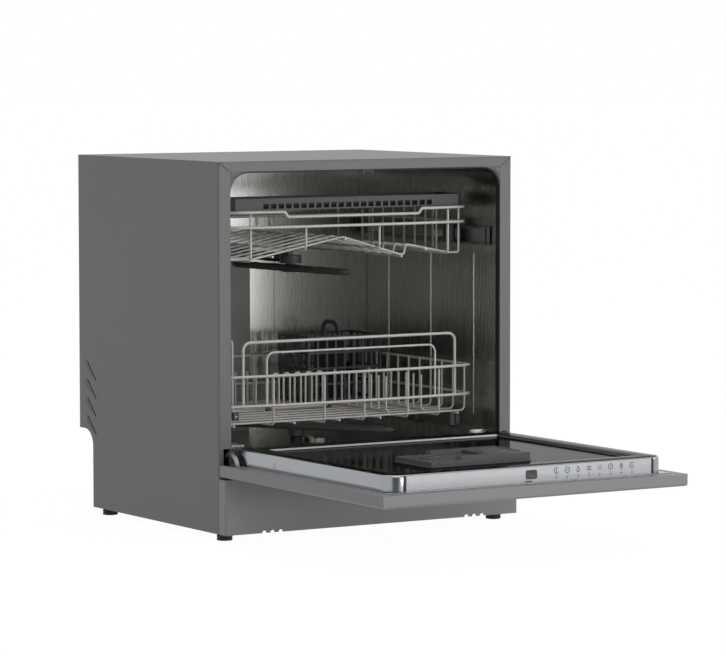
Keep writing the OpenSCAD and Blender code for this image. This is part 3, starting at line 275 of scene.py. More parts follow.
# %% Stainless steel
def rolled_steel(name, code, roughness, along="Y"):
    """Rolled sheet: noise stretched along one axis drives a slight change of tone and a very fine bump."""
    steel = bpy.data.materials.new(name)
    steel.use_nodes = True
    shader = steel.node_tree.nodes["Principled BSDF"]
    at = add(steel, "ShaderNodeTexCoord").outputs["Object"]
    fine, long = 1000 / 0.6, 1000 / 120
    scale = {"X": (long, fine, fine), "Y": (fine, long, fine), "Z": (fine, fine, long)}[along]
    streaks = add(steel, "ShaderNodeMapping", {"Vector": at, "Scale": scale})
    grain = add(steel, "ShaderNodeTexNoise", {"Vector": streaks.outputs[0], "Scale": 1.0, "Detail": 2.0})
    dull = add(steel, "ShaderNodeMapRange", {0: grain.outputs["Fac"], 3: roughness - 0.015, 4: roughness + 0.02})
    dark = tuple(0.97 * c for c in linear(code)[:3]) + (1.0,)
    tone = add(steel, "ShaderNodeMix", {0: grain.outputs["Fac"], 6: dark, 7: linear(code)}, data_type="RGBA")
    bump = add(steel, "ShaderNodeBump", {"Height": grain.outputs["Fac"], "Strength": 0.003, "Distance": 0.0002})
    steel.node_tree.links.new(tone.outputs[2], shader.inputs["Base Color"])
    steel.node_tree.links.new(dull.outputs[0], shader.inputs["Roughness"])
    steel.node_tree.links.new(bump.outputs["Normal"], shader.inputs["Normal"])
    shader.inputs["Metallic"].default_value = 1.0
    return steel

tub_steel = rolled_steel("rolled stainless steel of the tub", "#b6b6b2", 0.27, "Z")
liner_steel = rolled_steel("rolled stainless steel of the liner", "#999c9f", 0.15, "X")
zinc_steel = rolled_steel("zinc plated steel", "#b4b6b8", 0.38, "Y")
print("steels ready")

# %% [markdown]
# ## Plastics and rubber
# The mouldings are polypropylene and ABS. A spark-eroded mould leaves a matt grain of about 0.4 mm,
# drawn here at 0.7 mm so that it shows. The racks are steel wire dipped in nylon powder, which melts to
# a smooth, slightly waxy skin. The seals are EPDM rubber, darker and duller than any of these.

# %% Moulded plastic and rubber
def moulded(name, code, roughness, grain_mm, strength, ior=1.49, waxy=0.0):
    """Moulded surface: an even colour with slight clouds, and a grain of the given size as bump."""
    stuff = bpy.data.materials.new(name)
    stuff.use_nodes = True
    shader = stuff.node_tree.nodes["Principled BSDF"]
    at = add(stuff, "ShaderNodeTexCoord").outputs["Object"]
    clouds = add(stuff, "ShaderNodeTexNoise", {"Vector": at, "Scale": 1000 / 25, "Detail": 3.0})
    dark = tuple(0.88 * c for c in linear(code)[:3]) + (1.0,)
    tone = add(stuff, "ShaderNodeMix", {0: clouds.outputs["Fac"], 6: dark, 7: linear(code)}, data_type="RGBA")
    grain = add(stuff, "ShaderNodeTexNoise", {"Vector": at, "Scale": 1000 / grain_mm, "Detail": 1.0})
    bump = add(stuff, "ShaderNodeBump", {"Height": grain.outputs["Fac"], "Strength": strength, "Distance": 0.0002})
    stuff.node_tree.links.new(tone.outputs[2], shader.inputs["Base Color"])
    stuff.node_tree.links.new(bump.outputs["Normal"], shader.inputs["Normal"])
    shader.inputs["Roughness"].default_value = roughness
    shader.inputs["IOR"].default_value = ior
    shader.inputs["Coat Weight"].default_value = waxy
    shader.inputs["Coat Roughness"].default_value = 0.25
    return stuff

grey_plastic = moulded("grained polypropylene, dark grey", "#4d4c4e", 0.5, 0.7, 0.25)
black_plastic = moulded("grained polypropylene, black", "#232324", 0.55, 0.7, 0.3)
white_plastic = moulded("polypropylene, natural white", "#dcdbd4", 0.45, 0.9, 0.15)
light_plastic = moulded("grained polypropylene, steel grey", "#7d7d7b", 0.45, 0.7, 0.2)
strip_plastic = moulded("ABS with a silver lacquer", "#c9cacc", 0.33, 0.5, 0.06, 1.53)
mark_ink = moulded("grey printing ink", "#55575a", 0.6, 0.5, 0.05)
nylon = moulded("nylon dipped on steel wire", "#d2cec8", 0.3, 1.2, 0.08, 1.53, 0.25)
seal_rubber = moulded("EPDM rubber", "#1d1c1b", 0.65, 0.8, 0.3, 1.52)
print("plastics ready")

# %% Finishes for the parts that stay as the frame has them
FINISH = {
    side_paint: ["side_panel_left", "side_panel_right", "top_panel"],
    plinth_paint_lightened: ["plinth"],
    door_paint_lightened: ["door_outer_panel"],
    tub_steel: ["tub_wrapper", "tub_rear_wall", "tub_floor", "filter_cup"],
    zinc_steel: ["back_panel", "hinge_brackets", "hinge_arms", "door_springs"],
    black_plastic: ["base_tray", "cord_gland", "latch_striker", "sump", "drain_pump", "circulation_pump",
                    "drain_spigot"],
    grey_plastic: ["salt_cap", "spray_feed"],
    white_plastic: ["water_inlet_valve", "water_softener"],
    light_plastic: ["riser_pipe"],
    seal_rubber: ["door_seal"],
}
for finish, names in FINISH.items():
    for name in names:
        nodes[name].data.materials.clear()
        nodes[name].data.materials.append(finish)
print(sum(len(v) for v in FINISH.values()), "nodes finished")

# %% [markdown]
# ## The wire racks
# A rack is welded from straight and bent wires: 4.8 mm rails round the rim and 3.6 mm wires between
# them. Each bend is an arc, because a wire can't turn sharply. A wire lies in one plane, so the
# circle that is carried along it needs only that plane's normal to stay untwisted.

# %% A wire is a circle carried along a bent path
def bent(path, bend):
    """A flat path with each inner corner replaced by an arc of radius bend, tangent to both sides."""
    path = np.asarray(path, dtype=float)
    out = [path[:1]]
    for before, corner, after in zip(path[:-2], path[1:-1], path[2:]):
        u = (corner - before) / np.linalg.norm(corner - before)
        v = (after - corner) / np.linalg.norm(after - corner)
        turn = np.arctan2(u[0] * v[1] - u[1] * v[0], np.dot(u, v))
        if abs(turn) < 0.02:
            continue
        reach = bend * tan(abs(turn) / 2)
        side = np.sign(turn) * np.array([-u[1], u[0]])
        centre = corner - reach * u + bend * side
        steps = np.linspace(0, turn, max(2, int(abs(turn) / 0.25) + 1))[:, None]
        spoke = -bend * side
        out.append(centre + np.cos(steps) * spoke + np.sin(steps) * np.array([-spoke[1], spoke[0]]))
    return np.concatenate(out + [path[-1:]])

def in_plane(path, plane, at):
    """Lifts a flat path into space: "xz" stands across at y = at, "yz" from front to back at x = at,
    "xy" lies at z = at. Returns the points and the plane's normal."""
    path = np.asarray(path, dtype=float)
    level = np.full(len(path), at)
    columns = {"xz": (path[:, 0], level, path[:, 1]), "yz": (level, path[:, 0], path[:, 1]),
               "xy": (path[:, 0], path[:, 1], level)}[plane]
    normal = {"xz": (0, 1, 0), "yz": (1, 0, 0), "xy": (0, 0, 1)}[plane]
    return np.stack(columns, axis=1), np.array(normal, dtype=float)

def carried(profile, points, normal, wrap=True, caps=True):
    """A profile carried along points: its first number runs sideways, its second along the normal."""
    step = np.diff(points, axis=0)
    step /= np.linalg.norm(step, axis=1, keepdims=True)
    tangent = np.vstack([step[:1], step[:-1] + step[1:], step[-1:]])
    tangent /= np.linalg.norm(tangent, axis=1, keepdims=True)
    side = np.cross(tangent, normal)
    profile = np.asarray(profile, dtype=float)
    rings = points[:, None] + profile[None, :, :1] * side[:, None] + profile[None, :, 1:] * normal
    return grid(rings, wrap, caps)

def wire(path, plane, at, radius, bend=8.0, sides=10):
    """Round wire: centre line from bent(), cross-section a circle of the radius."""
    a = np.linspace(0, 2 * pi, sides, endpoint=False)
    points, normal = in_plane(bent(path, bend), plane, at)
    return carried(np.stack([radius * np.cos(a), radius * np.sin(a)], axis=1), points, normal)

print("a bend of 90 degrees has", len(bent([(0, 0), (10, 0), (10, 10)], 5)), "points")

# %% The rim that both racks share
home, corner = 42.0, 26.0
rail, thin = 2.4, 1.8
weld_gap = rail * cos(pi / 8) + thin * cos(pi / 8) - 0.3

def bow(x, half):
    """How far the front rail lies behind its foremost point: level to x = 110, then falling back."""
    return np.interp(abs(x), [0, 110, half - 16, half], [0, 0, 9, 14])

def rim(half, depth):
    """Closed path of a rim rail: bowed front, straight sides and back, starting at the middle of the left side."""
    y0, y1, mid = home, home + depth, home + depth / 2
    return [(-half, mid), (-half, y0 + 20), (-half + 14, y0 + 9), (-110, y0), (110, y0), (half - 14, y0 + 9),
            (half, y0 + 20), (half, y1), (-half, y1), (-half, mid - 0.5)]

# %% Lower rack
lower_half, lower_depth = 234.0, 363.0
floor_z, low_z, high_z = 176.0, 205.0, 252.0
cross_first, crosses = home + corner + 3, 10
pitch = (lower_depth - 2 * corner - 6) / (crosses - 1)
inside = lower_half - weld_gap
long_z = floor_z - 2 * thin * cos(pi / 8) + 0.3
back_y = home + lower_depth - weld_gap
lower = [wire(rim(lower_half, lower_depth), "xy", z, rail, 7, 12) for z in (low_z, high_z)]
lower += [wire([(-inside, high_z + 2), (-inside, floor_z), (inside, floor_z), (inside, high_z + 2)], "xz",
               cross_first + i * pitch, thin, 8) for i in range(crosses)]
for x in (-147, -54, 21, 104, 167):
    y = home + bow(x, lower_half) + weld_gap
    lower.append(wire([(y, high_z + 2), (y, long_z), (back_y, long_z), (back_y, high_z + 2)], "yz", x, thin, 8))
for x in (-212, -100, -16, 62, 212):
    lower.append(wire([(cross_first - 9, long_z), (cross_first + 9 + (crosses - 1) * pitch, long_z)], "yz", x, thin))
for x, z, r in ((200, 306, rail), (159, 289, thin)):
    y = home + bow(x, lower_half) + (rail + r) * cos(pi / 8) - 0.3
    lower.append(wire([(-x, low_z - 2), (-x, z), (x, z), (x, low_z - 2)], "xz", y, r, 13, 12))

# %% Plate tines of the lower rack
tine_pitch, tine_h = 23.0, 57.0
def tines(start, count, z):
    """A row of straight upright fingers standing on one straight base wire; each is its own path."""
    base = [(start - 6, z), (start + (count - 1) * tine_pitch + 6, z)]
    return base, [[(start + i * tine_pitch, z), (start + i * tine_pitch, z + tine_h)] for i in range(count)]

for row in (5.5, 7.5):
    y = cross_first + row * pitch
    base, fingers = tines(-196, 8, long_z + 2 * thin * cos(pi / 8))
    lower += [wire(path, "xz", y, thin) for path in [base] + fingers]
for x in (92, 160):
    base, fingers = tines(cross_first + 22, 8, floor_z + 2 * thin * cos(pi / 8))
    lower += [wire(path, "yz", x, thin) for path in [base] + fingers]
piece("lower_rack_wires", lower, "lower_rack", nylon,
      ["lower_rack_floor", "lower_rack_front", "lower_rack_back", "lower_rack_sides", "plate_tines"])

# %% Folding tines and stemware rest
hinge_z, hinge_y = floor_z + thin * cos(pi / 8) + thin + 1, cross_first + 4.5 * pitch
flap = [wire([(-57, hinge_z), (65, hinge_z)], "xz", hinge_y, thin)]
for i in range(5):
    x = -46 + 21 * i
    flap.append(wire([(x, hinge_z), (x, hinge_z + tine_h), (x + 12, hinge_z + tine_h), (x + 12, hinge_z)], "xz",
                     hinge_y, thin, 5.6))
piece("folding_tine_wires", flap, "folding_tines", nylon, ["fold_tines"])

stem_z, stem_top = floor_z + 8, floor_z + 8 + 121
a, b = cross_first + pitch + 9, cross_first + 5 * pitch - 9
wave = [(a, stem_z), (a, stem_top - 6), (a + 2.4, stem_top - 1.4)]
wave += [(a + 7 + i * (b - a - 14) / 12, stem_top - (i % 2) * 3) for i in range(13)]
wave += [(b - 2.4, stem_top - 1.4), (b, stem_top - 6)]
rest = [wire(wave + [(b, stem_z)], "yz", -185, thin, 4), wire([(a - 12, stem_z), (b + 12, stem_z)], "yz", -185, thin)]
piece("stemware_wires", rest, "stemware_holder", nylon, ["stemware_rest"])

# %% Upper rack
upper_half, upper_depth = 222.0, 356.0
edge_z, mid_z, top_z = 437.0, 488.0, 512.0
upper_pitch = (upper_depth - 2 * corner - 6) / (crosses - 1)
inside = upper_half - weld_gap
back_y = home + upper_depth - weld_gap
tent = [(-172, edge_z), (-4, edge_z + 31), (103, edge_z), (112, edge_z), (116, edge_z + 16), (199, edge_z)]
across = [(-inside, top_z + 2), (-inside, edge_z)] + tent + [(inside, edge_z), (inside, top_z + 2)]
upper = [wire(across, "xz", cross_first + i * upper_pitch, thin, 3) for i in range(crosses)]
upper.append(wire(rim(upper_half, upper_depth), "xy", mid_z, rail, 7, 12))
drop = 2 * thin * cos(pi / 8) - 0.4
posts = {-186: top_z, -88: mid_z, 50: mid_z, 186: top_z}
for x in (-186, -140, -88, -4, 50, 103, 150, 186):
    z = float(np.interp(x, [p[0] for p in tent], [p[1] for p in tent])) - drop
    if x in posts:
        y = home + bow(x, upper_half) + weld_gap
        path = [(y, posts[x] + 2), (y, z), (back_y, z), (back_y, posts[x] + 2)]
    else:
        path = [(cross_first - 9, z), (cross_first + 9 + (crosses - 1) * upper_pitch, z)]
    upper.append(wire(path, "yz", x, thin, 8))

# %% The top rail dips at the front, so that a hand can pull the rack
right_side = [(131, home + 1), (upper_half - 14, home + 9), (upper_half, home + 20), (upper_half, home + upper_depth)]
side_rail = right_side + [(-x, y) for x, y in right_side[::-1]]
upper.append(wire(side_rail, "xy", top_z, rail, 7, 12))
dip = [(-135, top_z), (-129, top_z), (-123, top_z - 8), (123, top_z - 8), (129, top_z), (135, top_z)]
upper.append(wire(dip, "xz", home + 1, rail, 4, 12))
piece("upper_rack_wires", upper, "upper_rack", nylon,
      ["upper_rack_floor", "upper_rack_front", "upper_rack_back", "upper_rack_sides"])

# %% [markdown]
# ## Mouldings with soft edges
# Moulded parts have no sharp edges, because a mould can't fill them and they would cut a hand. A slab
# is built from one rounded outline that is stacked at several heights: near the top and the bottom the
# outline shrinks along a quarter circle, which rounds the rim.

# %% Rounded outlines and slabs
def outline(w, h, r, n=6):
    """Rounded rectangle about the middle: four quarter circles of radius r, anticlockwise."""
    a = np.linspace(0, pi / 2, n + 1)
    x, y = w / 2 - r, h / 2 - r
    quarters = [(x, y, 0), (-x, y, pi / 2), (-x, -y, pi), (x, -y, 1.5 * pi)]
    return np.concatenate([np.stack([cx + r * np.cos(a + s), cy + r * np.sin(a + s)], axis=1)
                           for cx, cy, s in quarters])

FACING = {"up": ((1, 0, 0), (0, 1, 0), (0, 0, 1)), "front": ((1, 0, 0), (0, 0, 1), (0, -1, 0)),
          "right": ((0, 1, 0), (0, 0, 1), (1, 0, 0)), "left": ((0, -1, 0), (0, 0, 1), (-1, 0, 0))}

def stacked(w, h, r, profile, middle, facing="up", caps=True):
    """Rounded outlines on top of each other: each row of profile is (inset, height)."""
    rows = [np.column_stack([outline(w - 2 * d, h - 2 * d, max(r - d, 0.15)), np.full(28, z)]) for d, z in profile]
    return grid(np.stack(rows) @ np.array(FACING[facing], dtype=float) + np.array(middle, dtype=float), True, caps)

def slab(w, h, r, low, high, edge, middle, facing="up"):
    """A plate from height low to high whose rims are rounded by edge."""
    a = np.linspace(0, pi / 2, 4)
    foot = [(edge * (1 - np.sin(t)), low + edge * (1 - np.cos(t))) for t in a]
    head = [(edge * (1 - np.cos(t)), high - edge * (1 - np.sin(t))) for t in a]
    return stacked(w, h, r, foot + head, middle, facing)

# %% [markdown]
# ## Telescopic rails
# The upper rack hangs on rails rolled from bright steel strip: three channels in each other, with balls
# between them. Rolling leaves a round bead along each long edge, and that bead makes the bright line
# that the eye sees. A channel is one thin outline carried straight along the rail.

# %% Rails, their end caps and the straps that carry the rack
bright_steel = rolled_steel("bright rolled steel strip", "#b5b6b7", 0.22, "Y")

def rolled_channel(x, reach, h, y0, y1, s):
    """A channel open towards the rack: web, two flanges and round beads, as one closed outline."""
    t, b = 1.2, 0.95
    a = np.linspace(0, -4.4, 9)
    bead = np.stack([-reach + b + b * np.sin(a), h / 2 - b + b * np.cos(a)], axis=1)
    half = np.concatenate([[(0, 0.01), (0, h / 2)], bead, [(-t, h / 2 - t), (-t, 0.01)]])
    whole = np.concatenate([half, (half * [1, -1])[::-1]])
    ends = np.array([(s * x, y0, slide_z), (s * x, y1, slide_z)], dtype=float)
    rings = ends[:, None] + np.column_stack([s * whole[:, 0], np.zeros(len(whole)), whole[:, 1]])[None]
    return grid(rings, True, True)

slide_x, slide_z = 252.8, 464.0
for name, body, x, reach, h, y0, y1 in (("rail_channels", "cabinet", slide_x, 12.8, 30, 30, 400),
                                        ("rail_middles", "rail_middle", slide_x - 2.5, 11.8, 26, 40, 390),
                                        ("rail_inners", "upper_rack", slide_x - 5.0, 10.8, 22, home + 89, 390)):
    parts = [rolled_channel(x, reach, h, y0, y1, s) for s in (-1, 1)]
    if name == "rail_channels":
        parts += [slab(16, 20, 1, 0, 2.7, 0.4, (s * slide_x, y + 10, slide_z), "right" if s > 0 else "left")
                  for s in (-1, 1) for y in (50, 200, 350)]
    piece(name + "_rolled", parts, body, bright_steel, [name])
rail_ends = [slab(12, 19, 3, -12, 26, 1.2, (s * (slide_x - 21.3), home + 79.5, slide_z)) for s in (-1, 1)]
piece("rail_end_caps", rail_ends, "upper_rack", grey_plastic, ["rail_inners"])
straps = [slab(2.4, 5, 0.8, -22, 52, 0.6, (s * 225.4, y + 8, slide_z)) for s in (-1, 1) for y in (home + 109, 350)]
straps += [slab(20, 12, 1, -5, 5, 0.6, (s * 236.0, y + 8, slide_z)) for s in (-1, 1) for y in (home + 109, 350)]
piece("rack_straps", straps, "upper_rack", nylon, ["rail_inners"])

# %% [markdown]
# ## The pressed door liner
# The liner is one sheet, pressed in a die: straight walls, an edge rounded over 4 mm, a rim, a soft step
# down into a flat field, and an opening in the front wall for the control strip. It is the stacked
# outline again, with the outline's front corners rounder than those at the hinge.

# %% Liner outline with two kinds of corner
half, y_hinge, y_front = 250.5, -13.0, -460.0
panel_top, liner_top, field_drop = 121.0, 147.5, 4.0

def liner_ring(d, z):
    """Outline of the liner, d in from its walls: radius 28 at the two front corners and 6 at the hinge.
    Points of the front wall at x = 222 mark the ends of the strip's opening; further in they move with
    the corners."""
    a = np.linspace(0, pi / 2, 9)
    front_r, back_r = max(28 - d, 1.0), max(6 - d, 0.5)
    x, y0, y1 = half - d, y_hinge - d, y_front + d
    arcs = [(x - back_r, y0 - back_r, 0, back_r), (-x + back_r, y0 - back_r, pi / 2, back_r),
            (-x + front_r, y1 + front_r, pi, front_r), (x - front_r, y1 + front_r, 1.5 * pi, front_r)]
    rounds = [np.stack([cx + r * np.cos(a + s), cy + r * np.sin(a + s)], axis=1) for cx, cy, s, r in arcs]
    share = np.linspace(0, 1, 32)[1:-1, None]
    straight = [p[-1] * (1 - share) + q[0] * share for p, q in zip(rounds, rounds[1:] + rounds[:1])]
    strip_end = min(222, x - front_r - 0.5)
    straight[2] = np.column_stack([np.linspace(-strip_end, strip_end, 45), np.full(45, y1)])
    ring = np.concatenate([part for pair in zip(rounds, straight) for part in pair])
    return np.column_stack([ring, np.full(len(ring), z)])

quarter = np.linspace(0, pi / 2, 6)
walls = [(0.0, panel_top + 0.4), (0.0, 122.5), (0.0, liner_top - 4)]
walls += [(4 * (1 - cos(t)), liner_top - 4 * (1 - sin(t))) for t in quarter[1:]]
rim_in = 38.0
walls += [(rim_in - 5, liner_top)]
walls += [(rim_in - 5 + 3 * sin(t), liner_top - 2 * (1 - cos(t))) for t in quarter[1:]]
walls += [(rim_in + 1 - 3 * cos(t), liner_top - field_drop + 2 * (1 - sin(t))) for t in quarter[1:]]
rings = np.stack([liner_ring(d, z) for d, z in walls])
print("liner grid", rings.shape)

# %% The field runs from its outline to the dispenser's opening
disp_x, disp_y, disp_w, disp_l = -30.0, -320.0, 180.0, 100.0
outer = rings[-1]

def onto_rectangle(ring, middle, half_x, half_y):
    """Moves each point of a ring along its ray from the middle onto a rectangle about the middle."""
    ray = ring[:, :2] - middle
    reach = np.minimum(half_x / np.maximum(abs(ray[:, 0]), 1e-6), half_y / np.maximum(abs(ray[:, 1]), 1e-6))
    return np.column_stack([middle + ray * reach[:, None], ring[:, 2]])

inner = onto_rectangle(outer, [disp_x, disp_y], disp_w / 2 - 2, disp_l / 2 - 2)
blend_in = np.array([0, 0.02, 0.35, 0.7, 0.98, 1])[:, None, None]
field = outer[None] * (1 - blend_in) + inner[None] * blend_in
points, faces = grid(np.concatenate([rings, field[1:]]), wrap=True)
x, y, z = points[np.array(faces)].mean(axis=1).T
strip_hole = (abs(x) < 222) & (y < y_front + 0.3) & (z > 122.5) & (z < 143.5)
faces = np.array(faces)[~strip_hole].tolist()
foot = liner_ring(0.3, panel_top + 0.9)
flange = [onto_rectangle(foot, [0, -238], half + 5, 225.4), foot]
liner = piece("liner_skin", [(points, faces), grid(np.stack(flange), wrap=True)], "door", liner_steel,
              ["door_liner"], closed=False, wall=0.8)

# %% The field is polished; its steel is written darker than the walls, with a low specular tint: a painted reflection of the dark racks above it
field_steel_darkened = rolled_steel("polished stainless steel of the liner's field", "#70706e", 0.1, "X")
field_steel_darkened.node_tree.nodes["Principled BSDF"].inputs["Specular Tint"].default_value = (0.15, 0.15, 0.15, 1)
liner.data.materials.append(field_steel_darkened)
count = len(liner.data.polygons)
centres, normals = np.empty(3 * count), np.empty(3 * count)
liner.data.polygons.foreach_get("center", centres)
liner.data.polygons.foreach_get("normal", normals)
# The flat field faces get the darkened steel: a painted reflection, not a darker metal.
lies_flat = (abs(normals[2::3]) > 0.9) & (centres[2::3] * 1000 > liner_top - field_drop - 0.5)
liner.data.polygons.foreach_set("material_index", lies_flat.astype(np.int32))
print(int(lies_flat.sum()), "faces of the liner get the field steel darkened for a painted reflection")

# %% A pressed dimple on each side wall of the liner
dimple = [(0, -0.5), (0.3, 0.35), (1.2, 0.5), (2.6, -0.2)]
dimples = [stacked(9, 14, 4.4, dimple, (s * half, -126, 134), side) for s, side in ((-1, "left"), (1, "right"))]
piece("liner_dimples", dimples, "door", liner_steel)

# %% [markdown]
# ## Louvres in the side panel
# Four slanted louvres let warm air out at the back of the left side. A press cuts each slit and bulges the
# strip beside it by 1.5 mm. The bulge is a lens: its height falls as 1 - u^2 along it and 1 - v^2 across.

# %% Louvre hoods
def hood(z):
    """Height 1.6 (1 - u^2)(1 - v^2) over a slanted ellipse, u along the louvre and v across it."""
    a = np.linspace(0, 2 * pi, 33)[:-1]
    r = np.linspace(1, 0.05, 7)[:, None]
    u, v = r * np.cos(a), r * np.sin(a)
    along, across, high = 21 * u, 2.6 * v + 3.4, 1.6 * (1 - u ** 2) * (1 - v ** 2) - 0.2
    c = cos(pi / 4)
    place = [-275 - high, louvre_y + c * (along - across), z + c * (along + across)]
    return grid(np.stack(place, axis=-1), True, True)

louvre_y = 421 + 3.5 + 31.1 / 2
piece("louvre_hoods", [hood(238 - 30 * i) for i in range(4)], "cabinet", side_paint)

# %% Control strip, its end seals and its marks
strip = [slab(444, 23, 1.5, 459.0, 460.5, 0.7, (0, 0, 134.2), "front")]
piece("strip_front", strip, "door", strip_plastic, ["control_strip"])
ends = [slab(5, 23.5, 1.2, 456.5, 460.3, 0.8, (s * 224.2, 0, 134.2), "front") for s in (-1, 1)]
piece("strip_end_seals", ends, "door", seal_rubber)

# %% [markdown]
# ## Marks on the control strip
# The strip carries a row of small printed signs with a dot under each. They are generic: a ring, a
# drop, a bar and a few rays, printed in grey ink. A printed film is far thinner than a pixel, so each
# is a flat ribbon 0.15 mm proud, with a line 0.9 mm wide that the camera can just see.

# %% Printed marks
def ribbon(path, width, at):
    """A flat line: the path's neighbours on both sides, half a width away along its normal."""
    path = np.asarray(path, dtype=float)
    step = np.gradient(path, axis=0)
    step /= np.linalg.norm(step, axis=1, keepdims=True)
    off = np.stack([-step[:, 1], step[:, 0]], axis=1) * width / 2
    both = np.stack([path - off, path + off])
    front = np.concatenate([both + at, both[::-1] + at])
    level = np.array([460.62, 460.62, 460.4, 460.4])[:, None]
    xyz = np.stack([front[..., 0], -np.broadcast_to(level, front.shape[:2]), front[..., 1]], axis=-1)
    return grid(np.swapaxes(xyz, 0, 1), wrap=True, caps=True)

circle = np.linspace(0, 2 * pi, 25)
ring_path = np.stack([3.4 * np.cos(circle), 3.4 * np.sin(circle)], axis=1)
arc_path = ring_path[3:-2]
bar = np.array([(-3.2, 0), (0, 0), (3.2, 0)])
upright = bar[:, ::-1] * 1.1
drop_path = np.stack([2.4 * np.sin(circle) * np.sin(circle / 2), 3.2 * np.cos(circle)], axis=1)
zigzag = np.array([(-3, -3), (-1.2, 3), (0, -2), (1.2, 3), (3, -3)])
signs = [[arc_path, upright * 0.7], [ring_path, bar * 0.5], [drop_path], [bar + [0, 2], bar, bar - [0, 2]],
         [zigzag], [ring_path, upright * 0.5], [drop_path, bar * 0.4], [arc_path, bar * 0.6]]
marks = []
for i, sign in enumerate(signs):
    x = 45.5 + 20.0 * i
    marks += [ribbon(1.25 * path, 1.1, (x, 138.0)) for path in sign]
    marks += [ribbon(ring_path * 0.22, 1.1, (x, 127.0)), ribbon(bar * 0.3, 0.9, (x, 130.8))]
piece("strip_marks", marks, "door", mark_ink)

# %% Latch mouth
frame_edge = [(0, 446), (0, 460.6), (0.3, 461.1), (1.3, 461.2), (1.9, 460.8)]
mouth = [stacked(21, 14, 3.2, frame_edge, (0, 0, 134.6), "front")]
mouth.append(slab(13, 2.2, 0.8, 460.2, 461.6, 0.5, (0, 0, 131.4), "front"))
mouth.append(slab(14, 2.0, 0.8, 459.9, 460.9, 0.4, (-5, 0, 124.4), "front"))
piece("latch_mouth_moulding", mouth, "door", grey_plastic, ["latch_mouth"])

# %% [markdown]
# ## The detergent dispenser
# The dispenser is a dark moulding let into the liner. A flange covers the cut edge of the steel, a
# raised frame guides the sliding lid of the powder cup, and a round cap closes the rinse aid. The frame
# keeps its exact sizes, because the lid slides in it, and only gains soft edges.

# %% Dispenser
softened("dispenser_body", "door", grey_plastic, 0.8)
softened("dispenser_lid", "detergent_lid", grey_plastic, 0.7)
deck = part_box("dispenser_lid")[0][2] * 1000 - 0.4
lip = [(0, 143.2), (0, 144.2), (0.8, 144.9), (3.9, 144.9), (3.9, 143.2), (0, 143.2)]
piece("dispenser_flange", [stacked(188, 108, 8, lip, (disp_x, disp_y, 0), caps=False)], "door", grey_plastic)

# %% Turned parts
def turned(profile, middle, facing="up", sides=40, ripple=0.0, waves=12):
    """A profile of (radius, height) pairs turned about an axis; radii over 13 get a ripple of that many waves."""
    a = np.linspace(0, 2 * pi, sides, endpoint=False)
    r, h = np.array(profile, dtype=float).T
    r = r[:, None] + ripple * (r[:, None] > 13) * np.cos(waves * a)
    rows = np.stack([r * np.cos(a), r * np.sin(a), np.broadcast_to(h[:, None], r.shape)], axis=-1)
    return grid(rows @ np.array(FACING[facing], dtype=float) + np.array(middle, dtype=float), True, True)

cap_profile = [(12.6, -5.6), (12.6, 0.4), (14.6, 0.4), (14.6, 2.4), (14.0, 3.2), (11.8, 3.4), (11.4, 2.6), (0.1, 2.6)]
cap_place = (-92, disp_y, deck)
cap = [turned(cap_profile, cap_place, sides=96, ripple=0.35), slab(22, 5, 2, 2.4, 5.0, 0.9, cap_place)]
piece("rinse_cap_moulding", cap, "rinse_cap", grey_plastic, ["rinse_aid_cap"])

# %% [markdown]
# ## Seals
# The mouth of the tub has a rubber seal in a groove round its top and sides. Its section is a hollow
# bulb with a thin lip that bends when the door closes; only the outer skin shows, so that is carried
# round the arch.

# %% Mouth seal
arch_x, arch_top, arch_low = 253.7, 578.2, 140.5
arch = bent([(-arch_x, arch_low), (-arch_x, arch_top), (arch_x, arch_top), (arch_x, arch_low)], 34)
section = [(-1.6, 2.2), (-1.0, 2.0), (1.2, 2.0), (1.6, 3.0), (1.7, 6.0), (0.9, 7.0), (0.9, 8.0), (1.6, 9.0),
           (1.5, 11.4), (0.6, 12.0), (-1.0, 12.0), (-1.6, 11.4)]
points, normal = in_plane(arch, "xz", 0.0)
piece("mouth_seal", [carried(section, points, normal)], "cabinet", seal_rubber, ["door_gasket"])

# %% Gussets that round the mouth's two upper corners
def gusset(s):
    """A flat sheet between a quarter circle of radius 34 and the flanges' square corner."""
    a = np.linspace(0, pi / 2, 15)
    arc = np.stack([219.7 + 34 * np.cos(a), 544.2 + 34 * np.sin(a)], axis=1)
    square = np.stack([219.7 + 36.8 * np.minimum(1, 1 / np.maximum(np.tan(a), 1e-6)),
                       544.2 + 36.8 * np.minimum(1, np.tan(a))], axis=1)
    rows = np.stack([arc, square])
    return grid(np.stack([s * rows[..., 0], np.full(rows.shape[:2], 1.0), rows[..., 1]], axis=-1)[:, ::s])

piece("mouth_gussets", [gusset(-1), gusset(1)], "cabinet", side_paint, closed=False, wall=0.6)

# %% Feet with ribbed rubber soles
sole = [(1.0, 0.0), (0.0, 1.0), (0.0, 3.4), (0.8, 4.0), (0.8, 4.8), (0.0, 5.4), (0.0, 8.0), (1.2, 9.0)]
feet = []
for x in (-254, 254):
    for y in (20, 401):
        feet.append(stacked(25, 25, 12.4, sole, (x, y, 0)))
        feet.append(stacked(10, 10, 4.9, [(0, 8.5), (0, 14)], (x, y, 0)))
piece("feet_mouldings", feet, "cabinet", seal_rubber, ["levelling_feet"])

# %% [markdown]
# ## Wheels, clips, basket and shelf
# The lower rack rolls on six small wheels. A rack wheel is a thin web between a rim and a hub, which
# shrinks evenly when it cools. It is turned from one profile: radius against distance along the axle.

